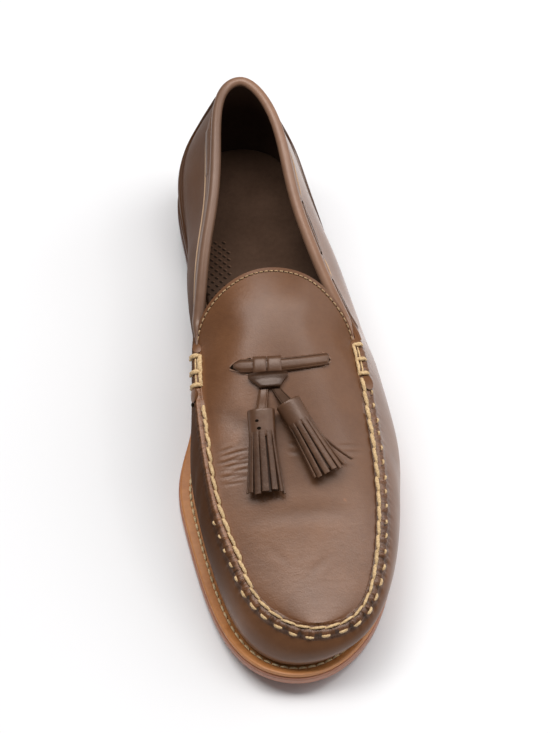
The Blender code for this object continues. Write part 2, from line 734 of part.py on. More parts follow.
def make_knot(material):
    """Cow hitch: two turns over the vamp lace, and the bight that holds them across the front."""
    inner = ((-0.0031, GAP), (-0.0031, 0.0013), (-0.0026, 0.0022), (0.0027, 0.0022), (0.0032, 0.0014), (0.0032, GAP))
    outer = ((-0.0041, GAP), (-0.0040, 0.0019), (-0.0028, 0.0032), (0.0032, 0.0034), (0.0048, 0.0024), (0.0056, GAP))
    turns = []
    for number, (first, last) in enumerate(KNOT_TURNS):
        grids = []
        for path in (inner, outer):
            rows = []
            for offset, height in path:
                rows.append([lay(x, lace_station(x) + offset, height) for x in np.linspace(first, last, 4)])
            grids.append(rows)
        turns.append(make_slab("knot_turn_%d" % number, *grids, material, CUTTERS))
    low, high = [], []
    for station, first, last in KNOT_BIGHT:
        across_bight = np.linspace(first, last, 6)
        low.append([lay(x, station, GAP) for x in across_bight])
        tops = [0.55, 1.0, 1.0, 1.0, 1.0, 0.55]
        edge = 0.7 if station in (KNOT_BIGHT[0].station, KNOT_BIGHT[-1].station) else 1.0
        high.append([lay(x, station, GAP + KNOT_HEIGHT * top * edge) for x, top in zip(across_bight, tops)])
    knot = make_slab("lace_knot", low, high, material)
    for turn in turns:
        join = knot.modifiers.new(turn.name, "BOOLEAN")
        join.operation = "UNION"
        join.solver = "EXACT"
        join.object = turn
    return knot


def tassel_frame(tassel):
    """Plan direction of a tassel's axis, and the one across it, as (x, station)."""
    axis = np.subtract(tassel.end, tassel.start)
    axis = axis / np.linalg.norm(axis)
    return axis, np.array([axis[1], -axis[0]])


def tassel_point(tassel, down, sideways, height):
    axis, cross = tassel_frame(tassel)
    x, station = np.array(tassel.start) + axis * down + cross * sideways
    return lay(x, station, height)


def make_lace_end(name, start, tassel, material):
    """A free end of the lace, from under the knot to the head of its tassel."""
    low, high = [], []
    _, cross = tassel_frame(tassel)
    stop = np.array(tassel.start) - tassel_frame(tassel)[0] * 2 * GAP
    for i in range(5):
        share_along = i / 4
        middle = np.add(start, share_along * np.subtract(stop, start))
        turn = np.array([1.0, 0.0]) * (1 - share_along) + cross * share_along
        turn = turn / np.linalg.norm(turn)
        rise = GAP + LACE_END_RISE * float(smoothstep(share_along))
        section = lace_section(LACE_END_WIDTH)
        low.append([lay(*(middle + turn * offset), rise) for offset, _ in section])
        high.append([lay(*(middle + turn * offset), rise + LACE_THICKNESS * share) for offset, share in section])
    return make_slab(name, low, high, material)


def tassel_section(tassel, down):
    """Half width and half height of a tassel's body at a distance down its axis."""
    share = min(1.0, max(0.0, (down - TASSEL_HEAD) / (tassel.length - TASSEL_HEAD)))
    return tassel.half_width + (tassel.flare - tassel.half_width) * share, TASSEL_HALF_HEIGHT * (1 - 0.22 * share)


def make_tassel(name, tassel, material):
    """A rolled head with a fringe: the strips are fused to a core that runs inside them."""
    points, faces = [], []
    downs = ((0.0, 0.86), (0.0008, 1.0), (TASSEL_HEAD, 1.0), (TASSEL_HEAD + 0.001, 0.84), (tassel.length - 0.005, 0.78))
    around = 16
    for down, scale in downs:
        half_width, half_height = tassel_section(tassel, down)
        for k in range(around):
            angle = 2 * math.pi * k / around
            sideways = half_width * scale * math.cos(angle)
            height = GAP + half_height * (1 + scale * math.sin(angle))
            points.append(tassel_point(tassel, down, sideways, height))
    for ring in range(len(downs) - 1):
        for k in range(around):
            here, after = ring * around + k, ring * around + (k + 1) % around
            faces.append((here, after, after + around, here + around))
    faces.append(tuple(range(around)))
    faces.append(tuple(range((len(downs) - 1) * around, len(downs) * around)))
    body = make_object(name, points, faces, material)
    for number, (angle, length) in enumerate(zip(STRIP_ANGLES, STRIP_LENGTHS)):
        low, high = [], []
        for share_along in (0.0, 0.3, 0.65, 1.0):
            down = TASSEL_HEAD - 0.0012 + share_along * (tassel.length * length - TASSEL_HEAD + 0.0012)
            half_width, half_height = tassel_section(tassel, down)
            low_row, high_row = [], []
            for turn in (-STRIP_SPREAD, STRIP_SPREAD):
                at = math.radians(angle + turn)
                for row, scale in ((low_row, 0.70), (high_row, 0.955 + 0.045 * share_along)):
                    height = GAP + half_height * (1 + scale * math.sin(at))
                    row.append(tassel_point(tassel, down, half_width * scale * math.cos(at), height))
            low.append(low_row)
            high.append(high_row)
        strip = make_slab("%s_strip_%d" % (name, number), low, high, material, CUTTERS)
        join = body.modifiers.new(strip.name, "BOOLEAN")
        join.operation = "UNION"
        join.solver = "EXACT"
        join.object = strip
    return body


def clear_scene():
    for existing in list(bpy.data.objects):
        bpy.data.objects.remove(existing)


def main():
    upper_leather = make_material("upper_leather", (0.165, 0.098, 0.062), 0.42)
    sole_leather = make_material("sole_leather", (0.42, 0.19, 0.07), 0.5)
    sole_edge = make_material("sole_edge", (0.20, 0.085, 0.05), 0.5)
    heel_stack = make_material("heel_stack", (0.16, 0.075, 0.045), 0.5)
    sock_leather = make_material("sock_leather", (0.085, 0.052, 0.036), 0.55)
    collar_leather = make_material("collar_leather", (0.26, 0.15, 0.095), 0.42)
    lace_leather = make_material("lace_leather", (0.135, 0.078, 0.05), 0.45)
    make_outsole(sole_edge)
    make_welt(sole_leather)
    make_heel(heel_stack)
    make_insole(sock_leather)
    make_upper(upper_leather)
    make_heel_counter(upper_leather)
    make_collar(collar_leather)
    for lace in SIDE_LACES:
        make_side_lace(*lace, lace_leather)
    make_vamp_lace(lace_leather)
    make_knot(lace_leather)
    for side, start, tassel in zip(("medial", "lateral"), LACE_END_STARTS, (TASSEL_MEDIAL, TASSEL_LATERAL)):
        make_lace_end("lace_end_" + side, start, tassel, lace_leather)
        make_tassel("tassel_" + side, tassel, lace_leather)


clear_scene()
PARTS = bpy.data.collections.new("tassel_loafer")
bpy.context.scene.collection.children.link(PARTS)
CUTTERS = bpy.data.collections.new("tassel_loafer_cutters")
bpy.context.scene.collection.children.link(CUTTERS)
main()
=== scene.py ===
"""Looks of a tassel loafer for the left foot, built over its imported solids.

Metres, +Z up. The toe points to -Y and the heel to +Y, the lateral side is +X. A place round the shoe is v:
0 at the toe, negative down the medial side and positive down the lateral side, -1 and 1 at the back of the
heel.
"""
import math

import bmesh
import bpy
import numpy as np
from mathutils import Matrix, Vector


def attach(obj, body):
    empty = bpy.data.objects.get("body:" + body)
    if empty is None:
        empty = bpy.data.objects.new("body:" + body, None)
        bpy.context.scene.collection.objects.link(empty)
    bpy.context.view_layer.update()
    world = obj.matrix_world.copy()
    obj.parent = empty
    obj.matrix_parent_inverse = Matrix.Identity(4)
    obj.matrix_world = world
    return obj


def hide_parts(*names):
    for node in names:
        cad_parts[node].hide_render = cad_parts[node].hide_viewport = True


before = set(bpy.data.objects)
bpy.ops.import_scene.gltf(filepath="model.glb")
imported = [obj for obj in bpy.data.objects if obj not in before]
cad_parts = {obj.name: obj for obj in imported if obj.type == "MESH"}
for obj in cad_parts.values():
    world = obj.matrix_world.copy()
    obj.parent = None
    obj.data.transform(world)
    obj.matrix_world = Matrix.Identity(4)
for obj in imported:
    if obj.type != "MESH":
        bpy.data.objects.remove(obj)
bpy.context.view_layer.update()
MM = 0.001

# Sizes of the shoe, as in its solids
LENGTH = 0.300
HEEL_HEIGHT = 0.020
HEEL_BREAST = 0.074
SHANK_START = 0.078
FLAT_START = 0.170
FLAT_END = 0.232
TOE_SPRING = 0.0085
OUTSOLE_THICKNESS = 0.0050
WELT_THICKNESS = 0.0028
WELT_SETBACK = 0.0006
WELT_REACH = 0.0150
INSOLE_THICKNESS = 0.0030
WALL = 0.0018
GAP = 0.0003
RIDGE_HEIGHT = 0.0020
RIDGE_HALF = 0.0029
COLLAR_RADIUS = 0.0027
COLLAR_END_RADIUS = 0.0004
COLLAR_TAPER = 0.013
LACE_THICKNESS = 0.0016
JUNCTION = 0.1520
PLUG_POWER = 2.2
TONGUE_FLATTENING = 0.35
TONGUE_BLEND = 0.010  # the plug turns into the tongue over this length on both sides of the junction
WALL_REACH = 0.38  # handles of the wall's curve, as a share of its chord
WALL_SWELL = 2.25  # how far its lower handle stands out for a swell of 1
COUNTER_THICKNESS = 0.0013
COUNTER_EDGE_SHADE_WIDTH = 0.02  # share of the panel's half width that the painted shadow along its cut edge takes up


def smoothstep(value):
    value = np.clip(value, 0.0, 1.0)
    return value * value * (3 - 2 * value)


def unit(vectors):
    return vectors / np.linalg.norm(vectors, axis=-1, keepdims=True)


class Spline:
    """Natural cubic spline through its knots, for arrays."""

    def __init__(self, knots, values):
        self.knots, self.values = np.asarray(knots, float), np.asarray(values, float)
        self.step = np.diff(self.knots)
        slope = np.diff(self.values) / self.step
        count = len(self.knots)
        system, right = np.eye(count), np.zeros(count)
        for i in range(1, count - 1):
            system[i, i - 1 : i + 2] = self.step[i - 1], 2 * (self.step[i - 1] + self.step[i]), self.step[i]
            right[i] = 6 * (slope[i] - slope[i - 1])
        self.curve = np.linalg.solve(system, right)

    def __call__(self, at):
        i = np.clip(np.searchsorted(self.knots, at) - 1, 0, len(self.step) - 1)
        a, b, step = self.knots[i + 1] - at, at - self.knots[i], self.step[i]
        return (
            (self.curve[i] * a**3 + self.curve[i + 1] * b**3) / (6 * step)
            + (self.values[i] / step - self.curve[i] * step / 6) * a
            + (self.values[i + 1] / step - self.curve[i + 1] * step / 6) * b
        )


class Table:
    """A short table with named columns, the first of them the station from the back of the heel."""

    def __init__(self, names, *rows):
        stations, *columns = np.array(rows, float).T
        self.stations = stations
        self.first, self.last = stations[0], stations[-1]
        names = names.split()[1:]
        self.by_station = {name: Spline(stations, column) for name, column in zip(names, columns)}
        self.by_phase = {name: Spline(self.phase(stations), column) for name, column in zip(names, columns)}

    def phase(self, station):
        """0 at the first station, 1 at the last. Even steps of it crowd together at the two round ends."""
        share = np.clip((station - self.first) / (self.last - self.first), 0, 1)
        return np.arccos(1 - 2 * share) / np.pi

    def station(self, v):
        return self.first + (self.last - self.first) * (1 + np.cos(np.pi * np.abs(v))) / 2

    def along(self, column, station):
        return self.by_station[column](np.clip(station, self.first, self.last))

    def sided(self, stem, v):
        """A column of the side that v is on, at its station."""
        station = self.station(v)
        return np.where(v < 0, self.along(stem + "_medial", station), self.along(stem + "_lateral", station))

    def outline(self, v):
        """Plan x and y of an outline with round ends."""
        v = (np.asarray(v, float) + 1) % 2 - 1
        phase = 1 - np.abs(v)
        x = np.where(v < 0, self.by_phase["medial"](phase), self.by_phase["lateral"](phase))
        return np.stack([x, LENGTH / 2 - self.station(v)], -1)

    def outward(self, v):
        """Level unit vector out of the outline."""
        step = 1e-4
        run = self.outline(np.asarray(v) + step) - self.outline(np.asarray(v) - step)
        return unit(np.stack([run[..., 1], -run[..., 0]], -1))


SOLE = Table(
    "station medial lateral",
    (0.0000, -0.0160, -0.0160),
    (0.0120, -0.0412, 0.0092),
    (0.0400, -0.0482, 0.0174),
    (0.0800, -0.0434, 0.0268),
    (0.1200, -0.0414, 0.0350),
    (0.1600, -0.0456, 0.0446),
    (0.1900, -0.0522, 0.0526),
    (0.2130, -0.0500, 0.0512),
    (0.2450, -0.0432, 0.0452),
    (0.2770, -0.0322, 0.0332),
    (0.2935, -0.0190, 0.0186),
    (0.3000, 0.0000, 0.0000),
)
LOWER = Table(
    "station inset_medial inset_lateral swell_medial swell_lateral",
    (0.000, 0.0042, 0.0042, 0.0018, 0.0018),
    (0.030, 0.0030, 0.0036, 0.0022, 0.0022),
    (0.065, 0.0034, 0.0036, 0.0026, 0.0040),
    (0.095, 0.0042, 0.0036, 0.0060, 0.0058),
    (0.120, 0.0058, 0.0038, 0.0056, 0.0064),
    (0.155, 0.0080, 0.0044, 0.0006, 0.0056),
    (0.190, 0.0076, 0.0050, 0.0006, 0.0042),
    (0.250, 0.0070, 0.0050, 0.0008, 0.0034),
    (0.300, 0.0062, 0.0062, 0.0024, 0.0024),
)
TOP = Table(
    "station medial lateral height_medial height_lateral lean_medial lean_lateral",
    (0.0078, -0.0152, -0.0152, 0.0844, 0.0844, 15, 15),
    (0.0144, -0.0252, -0.0054, 0.0838, 0.0836, 20, 16),
    (0.0280, -0.0291, 0.0016, 0.0818, 0.0808, 23, 16),
    (0.0480, -0.0304, 0.0066, 0.0768, 0.0750, 20, 17),
    (0.0700, -0.0324, 0.0104, 0.0712, 0.0692, 18, 19),
    (0.0950, -0.0367, 0.0170, 0.0670, 0.0652, 16, 22),
    (0.1240, -0.0399, 0.0256, 0.0652, 0.0642, 10, 23),
    (0.1520, -0.0420, 0.0336, 0.0656, 0.0650, 5, 23),
    (0.1780, -0.0421, 0.0370, 0.0628, 0.0622, 9, 26),
    (0.2050, -0.0398, 0.0398, 0.0574, 0.0566, 22, 30),
    (0.2300, -0.0356, 0.0406, 0.0508, 0.0500, 34, 36),
    (0.2520, -0.0284, 0.0386, 0.0448, 0.0444, 42, 42),
    (0.2700, -0.0206, 0.0340, 0.0406, 0.0404, 46, 46),
    (0.2820, -0.0100, 0.0266, 0.0384, 0.0384, 48, 48),
    (0.2885, 0.0084, 0.0084, 0.0376, 0.0376, 50, 50),
)
SPINE = Table(
    "station height",
    (0.1200, 0.0886),
    (0.1400, 0.0868),
    (0.1580, 0.0818),
    (0.1780, 0.0742),
    (0.2000, 0.0654),
    (0.2250, 0.0564),
    (0.2500, 0.0484),
    (0.2700, 0.0428),
    (0.2885, 0.0384),
)
TONGUE = Table(
    "station medial lateral",
    (0.1240, -0.0060, -0.0060),
    (0.1290, -0.0254, 0.0146),
    (0.1370, -0.0362, 0.0246),
    (0.1450, -0.0408, 0.0304),
    (0.1520, -0.0420, 0.0330),
)
JUNCTION_V = 1 - float(TOP.phase(JUNCTION))

# Heel counter: share of the wall's height, station of its front edge on each side
COUNTER_EDGE = (
    (0.03, 0.0840, 0.0920),
    (0.12, 0.0740, 0.0820),
    (0.22, 0.0600, 0.0680),
    (0.30, 0.0450, 0.0520),
    (0.36, 0.0320, 0.0380),
    (0.43, 0.0230, 0.0275),
    (0.52, 0.0188, 0.0230),
    (0.68, 0.0168, 0.0206),
    (0.84, 0.0156, 0.0190),
    (0.97, 0.0150, 0.0182),
)


# Shape of the shoe


def sole_bottom(station):
    shank = smoothstep((station - SHANK_START) / (FLAT_START - SHANK_START))
    toe = np.maximum(0.0, (station - FLAT_END) / (LENGTH - FLAT_END))
    return HEEL_HEIGHT * (1 - shank) + TOE_SPRING * toe**2


def welt_bottom(station):
    return sole_bottom(station) + OUTSOLE_THICKNESS + GAP


def seat(station):
    return welt_bottom(station) + WELT_THICKNESS + GAP


def sole_ring(v, inset, height_of, rise):
    """Points inside the outsole's edge, at a height over one of its layers."""
    plan = SOLE.outline(v) - SOLE.outward(v) * np.asarray(inset)[..., None]
    return np.concatenate([plan, (height_of(LENGTH / 2 - plan[..., 1:]) + rise)], -1)


def sole_edge(v):
    return sole_ring(v, np.zeros_like(v), sole_bottom, 0.0)


def lower_point(v):
    return sole_ring(v, LOWER.sided("inset", v), seat, 0.0)


def top_point(v):
    return np.concatenate([TOP.outline(v), TOP.sided("height", v)[..., None]], -1)


def ridge_share(v):
    """0 along the collar, 1 along the moccasin seam."""
    return smoothstep((JUNCTION_V - np.abs(v) + 0.06) / 0.06)[..., None]


def top_direction(v):
    lean = np.radians(TOP.sided("lean", v))[..., None]
    return np.concatenate([-TOP.outward(v) * np.sin(lean), np.cos(lean)], -1)


def ridge_outer(v):
    """Width of the ridge outside its crest: it stands up more steeply along the medial side."""
    return RIDGE_HALF * (1 - 0.55 * smoothstep((-np.asarray(v, float) - 0.25) / 0.10))


def ridge_foot(v):
    out = TOP.outward(v)
    outer = ridge_outer(v)[..., None]
    at_seam = np.concatenate([out * outer, np.full_like(outer, -RIDGE_HEIGHT * 1.3)], -1)
    at_collar = -top_direction(v) * RIDGE_HALF
    share = ridge_share(v)
    return top_point(v) + share * at_seam + (1 - share) * at_collar


def wall_point(v, rise):
    """Outer face of the wall: rise is 0 at its lower edge and 1 at the foot of the seam's ridge."""
    v, rise = np.asarray(v, float), np.asarray(rise, float)[..., None]
    low, high = lower_point(v), ridge_foot(v)
    reach = np.linalg.norm(high - low, axis=-1, keepdims=True) * WALL_REACH
    swell = LOWER.sided("swell", v)[..., None] * WALL_SWELL
    low_handle = low + np.concatenate([SOLE.outward(v) * swell, reach], -1)
    high_handle = high - top_direction(v) * reach
    keep = 1 - rise
    return keep**3 * low + 3 * keep**2 * rise * low_handle + 3 * keep * rise**2 * high_handle + rise**3 * high


def wall_normal(v, rise):
    v, rise = np.asarray(v, float), np.asarray(rise, float)
    run = wall_point(v + 1e-3, rise) - wall_point(v - 1e-3, rise)
    up = wall_point(v, rise + 1e-3) - wall_point(v, rise - 1e-3)
    return unit(np.cross(run, up))


def wall_drop(v, drop):
    """Point and normal of the wall at a distance below its top edge, along the collar."""
    v, drop = np.broadcast_arrays(np.asarray(v, float), drop)
    reach = np.linalg.norm(ridge_foot(v) - lower_point(v), axis=-1) * 1.14
    rise = 1 - (drop - RIDGE_HALF) / reach
    return wall_point(v, rise), wall_normal(v, rise)


def plug_height(x, station):
    """Height of the plug and tongue over a point of the plan."""
    at = np.maximum(station, JUNCTION)
    medial, lateral = (TOP.by_phase[side](TOP.phase(at)) for side in ("medial", "lateral"))
    share = (x - medial) / np.maximum(lateral - medial, 1e-6)
    low = TOP.along("height_medial", station) * (1 - share) + TOP.along("height_lateral", station) * share
    spine = SPINE.along("height", station)
    arch = SPINE.along("height", JUNCTION) - TOP.along("height_medial", JUNCTION)
    lost = TONGUE_FLATTENING * (JUNCTION - station) / (JUNCTION - TONGUE.first)
    on_plug = smoothstep((station - JUNCTION + TONGUE_BLEND) / (2 * TONGUE_BLEND))
    low = (spine - arch * (1 - lost)) * (1 - on_plug) + low * on_plug - RIDGE_HEIGHT
    return low + (spine - low) * (1 - np.abs(2 * share - 1) ** PLUG_POWER)


def plug_normal(x, station):
    step = 1e-4
    slope_x = (plug_height(x + step, station) - plug_height(x - step, station)) / (2 * step)
    slope_s = (plug_height(x, station + step) - plug_height(x, station - step)) / (2 * step)
    return unit(np.stack([-slope_x, slope_s, np.ones_like(slope_x)], -1))


def plug_point(x, station):
    return np.stack([x, LENGTH / 2 - station, plug_height(x, station)], -1)


def lay(x, station, height):
    """A point at a height over the plug, along the plug's own normal."""
    x, station, height = np.broadcast_arrays(np.asarray(x, float), station, height)
    return plug_point(x, station) + plug_normal(x, station) * height[..., None]


def ridge_inner(v):
    """Plan x and station where the seam's ridge meets the plug."""
    plan = TOP.outline(v) - TOP.outward(v) * RIDGE_HALF
    return plan[..., 0], LENGTH / 2 - plan[..., 1]


def tongue_edge(turn):
    """Plan x and station of the tongue's edge: turn is -1 at the medial junction, 0 at its tip, then 1."""
    turn = np.asarray(turn, float)
    span = TONGUE.last - TONGUE.first
    station = TONGUE.first + span * (1 - np.cos(np.abs(turn) * np.pi / 2))
    turns = np.arccos(1 - (TONGUE.stations - TONGUE.first) / span) * 2 / np.pi
    columns = [TONGUE.along(side, TONGUE.stations) for side in ("medial", "lateral")]
    sides = [Spline(turns, column)(np.abs(turn)) for column in columns]
    return np.where(turn < 0, sides[0], sides[1]), station


def even_steps(curve, start, stop, spacing):
    """Parameters of points that lie evenly along a curve, about one spacing apart."""
    fine = np.linspace(start, stop, 4001)
    length = np.concatenate([[0], np.cumsum(np.linalg.norm(np.diff(curve(fine), axis=0), axis=1))])
    count = max(1, round(length[-1] / spacing))
    return np.interp(np.linspace(0, length[-1], count + 1), length, fine)


def round_heel(curve, end, spacing):
    """Even places along a curve from -end on the medial side round the heel to end on the lateral side."""
    side = even_steps(curve, -end, -1.0, spacing)
    return np.concatenate([side, -side[-2::-1]])


SEAM_FINE = np.linspace(-JUNCTION_V, JUNCTION_V, 8001)
SEAM_RUN = np.concatenate([[0], np.cumsum(np.linalg.norm(np.diff(top_point(SEAM_FINE), axis=0), axis=1))])
SEAM_RUN -= np.interp(0.0, SEAM_FINE, SEAM_RUN)


def seam_run(v):
    """Length along the seam's crest from the toe, negative on the medial side."""
    return np.interp(v, SEAM_FINE, SEAM_RUN)


def seam_v(run):
    return np.interp(run, SEAM_RUN, SEAM_FINE)


def station_v(side, station):
    """Place of a station of the top edge on one side, -1 for medial and 1 for lateral."""
    return side * (1 - TOP.phase(np.asarray(station, float)))


def seam_point(v, offset):
    """Point and normal on the ridge or beside it: offset is across the seam, positive outside the crest."""
    v, offset = np.broadcast_arrays(np.asarray(v, float), offset)

    def at(across):
        plan = TOP.outline(v) + TOP.outward(v) * across[..., None]
        share = np.clip(np.abs(across) / np.where(across > 0, ridge_outer(v), RIDGE_HALF), 0, 1)
        x, station = ridge_inner(v)
        crest, foot = TOP.sided("height", v), ridge_foot(v)[..., 2]
        base = np.where(across > 0, foot, plug_height(x, station))
        height = base + (crest - base) * np.sqrt(1 - 0.98 * share**2)
        inside = plug_height(plan[..., 0], LENGTH / 2 - plan[..., 1])
        height = np.where(across < -RIDGE_HALF, inside, height)
        return np.concatenate([plan, height[..., None]], -1)

    slope = (at(offset + 1e-4) - at(offset - 1e-4))[..., 2] / 2e-4
    normal = np.concatenate([-TOP.outward(v) * slope[..., None], np.ones_like(slope)[..., None]], -1)
    return at(offset), unit(normal)


# Meshes


def new_mesh(name, points, faces):
    mesh = bpy.data.meshes.new(name)
    mesh.from_pydata(np.asarray(points, float).tolist(), [], [tuple(map(int, face)) for face in faces])
    return mesh


def turn_faces_out(mesh):
    shape = bmesh.new()
    shape.from_mesh(mesh)
    bmesh.ops.recalc_face_normals(shape, faces=shape.faces)
    shape.to_mesh(mesh)
    shape.free()


def add_mesh(name, points, faces, materials, indices=None, sharp=40):
    mesh = new_mesh(name, points, faces)
    turn_faces_out(mesh)
    for material in materials:
        mesh.materials.append(material)
    if indices is not None:
        mesh.polygons.foreach_set("material_index", np.asarray(indices, np.int32))
    mesh.shade_smooth()
    mesh.set_sharp_from_angle(angle=math.radians(sharp))
    mesh.validate()
    piece = bpy.data.objects.new(name, mesh)
    bpy.context.scene.collection.objects.link(piece)
    return piece


def add_attribute(piece, name, values):
    """Stores a number for each point: tone is how much darker or lighter it is, matt_and_shade how matt it is
    and how far painted shade darkens it.
    """
    attribute = piece.data.attributes.new(name, "FLOAT", "POINT")
    attribute.data.foreach_set("value", np.asarray(values, np.float32))


def place(piece, slot, *nodes):
    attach(piece, "root")
    if nodes:
        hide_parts(*nodes)
    return piece


def index_faces(index):
    """Quads between the neighbours in a grid of point numbers."""
    corners = index[:-1, :-1], index[1:, :-1], index[1:, 1:], index[:-1, 1:]
    return np.stack([corner.ravel() for corner in corners], -1)


def grid_faces(rows, columns, start=0, close_rows=False, close_columns=False):
    """Quads of a grid of points that are numbered row by row."""
    index = start + np.arange(rows * columns).reshape(rows, columns)
    if close_rows:
        index = np.vstack([index, index[:1]])
    if close_columns:
        index = np.hstack([index, index[:, :1]])
    return index_faces(index)


def tube_faces(rings, sides, start=0):
    """Quads round a tube of rings, then a face over its first and one over its last ring."""
    tube = grid_faces(rings, sides, start, close_columns=True)[:, ::-1].tolist()
    end = start + rings * sides - 1
    return tube + [list(range(start, start + sides)), list(range(end, end - sides, -1))]


def smooth_normals(points, faces):
    mesh = new_mesh("normals", points, faces)
    normals = np.empty(len(points) * 3, np.float32)
    mesh.vertex_normals.foreach_get("vector", normals)
    bpy.data.meshes.remove(mesh)
    return normals.reshape(-1, 3).astype(float)


def boundary(faces):
    """Directed edges that only one face has."""
    edges = {(face[k], face[(k + 1) % len(face)]) for face in faces for k in range(len(face))}
    return sorted(edge for edge in edges if edge[::-1] not in edges)


def make_shell(name, points, faces, relief, thickness, materials, tone, inner_tone):
    """A wall with a smooth inside and an outside that has its relief, closed along its edges."""
    faces = [tuple(map(int, face)) for face in faces]
    normals = smooth_normals(points, faces)
    outside = points + normals * relief[:, None]
    inside = points - normals * thickness
    count = len(points)
    rim = [(b, a, a + count, b + count) for a, b in boundary(faces)]
    inner = [tuple(k + count for k in reversed(face)) for face in faces]
    indices = [0] * len(faces) + [1] * len(inner) + [0] * len(rim)
    piece = add_mesh(name, np.vstack([outside, inside]), faces + inner + rim, materials, indices, 60)
    add_attribute(piece, "tone", np.concatenate([tone, inner_tone]))
    return piece


def slab_faces(rows, columns, start=0):
    """Faces of a closed body between two grids that face each other, the upper one numbered first."""
    count = rows * columns
    upper = grid_faces(rows, columns, start)
    lower = grid_faces(rows, columns, start + count)[:, ::-1]
    index = start + np.arange(count).reshape(rows, columns)
    rim = np.concatenate([index[0, :], index[1:, -1], index[-1, -2::-1], index[-2:0:-1, 0]])
    after = np.roll(rim, -1)
    return np.vstack([upper, lower, np.stack([rim, after, after + count, rim + count], -1)])


def make_slab(name, upper, lower, materials, sharp=50):
    rows, columns = upper.shape[:2]
    points = np.vstack([upper.reshape(-1, 3), lower.reshape(-1, 3)])
    return add_mesh(name, points, slab_faces(rows, columns), materials, sharp=sharp)


def join_slabs(name, bodies, materials, sharp=50):
    """Several closed bodies in one mesh: each is a pair of grids."""
    points, faces, start = [], [], 0
    for upper, lower in bodies:
        rows, columns = upper.shape[:2]
        points += [upper.reshape(-1, 3), lower.reshape(-1, 3)]
        faces.append(slab_faces(rows, columns, start))
        start += 2 * rows * columns
    return add_mesh(name, np.vstack(points), np.vstack(faces), materials, sharp=sharp)


THREAD_SIDES = 8


def make_threads(name, paths, normals, half_widths, material, plies=2, twist=9.0, flatten=0.8):
    """Many short lengths of thread in one mesh, each a twisted tube along its path of points."""
    paths, normals = np.asarray(paths, float), np.asarray(normals, float)
    count, steps = paths.shape[:2]
    widths = np.broadcast_to(np.asarray(half_widths, float), (count, steps))
    run = unit(np.gradient(paths, axis=1))
    side = unit(np.cross(run, normals))
    lift = np.cross(side, run)
    angle = np.linspace(0, 2 * np.pi, THREAD_SIDES, endpoint=False)
    along = np.linspace(0, 1, steps)
    swell = 1 + 0.13 * np.cos(plies * (angle[None, :] + twist * along[:, None]))
    radius = widths[:, :, None] * swell[None]
    points = (
        paths[:, :, None]
        + side[:, :, None] * (radius * np.cos(angle))[..., None]
        + lift[:, :, None] * (radius * flatten * np.sin(angle))[..., None]
    )
    faces = []
    for i in range(count):
        faces += tube_faces(steps, THREAD_SIDES, i * steps * THREAD_SIDES)
    return add_mesh(name, points.reshape(-1, 3), faces, [material], sharp=70)


STITCH_STEPS = 9


def stitch_profile(height, sink):
    """Lift of a stitch over its surface along its length: it dives into the leather at both ends."""
    share = np.abs(np.linspace(-1, 1, STITCH_STEPS))
    return height - (height + sink) * share**4


def stitch_width(half_width):
    share = np.abs(np.linspace(-1, 1, STITCH_STEPS))
    return half_width * (1 - 0.45 * share**3)


def make_spots(name, centres, normals, runs, half_lengths, half_widths, material, height=0.00006):
    """Many small flat ovals in one mesh, such as holes: each is a thin lens that lies on its surface."""
    sides = 14
    turn = np.linspace(0, 2 * np.pi, sides, endpoint=False)
    runs = unit(runs - normals * np.sum(runs * normals, -1, keepdims=True))
    across = np.cross(normals, runs)
    half_lengths = np.broadcast_to(half_lengths, len(centres))[:, None]
    half_widths = np.broadcast_to(half_widths, len(centres))[:, None]
    rim = (
        centres[:, None]
        + runs[:, None] * (half_lengths * np.cos(turn))[..., None]
        + across[:, None] * (half_widths * np.sin(turn))[..., None]
        + normals[:, None] * height * 0.4
    )
    ends = np.stack([centres + normals * height, centres - normals * height * 4], 1)
    points = np.concatenate([rim, ends], 1)
    faces = []
    for first in range(0, len(centres) * (sides + 2), sides + 2):
        for k in range(sides):
            a, b = first + k, first + (k + 1) % sides
            faces += [(a, b, first + sides), (b, a, first + sides + 1)]
    return add_mesh(name, points.reshape(-1, 3), faces, [material])


# Materials


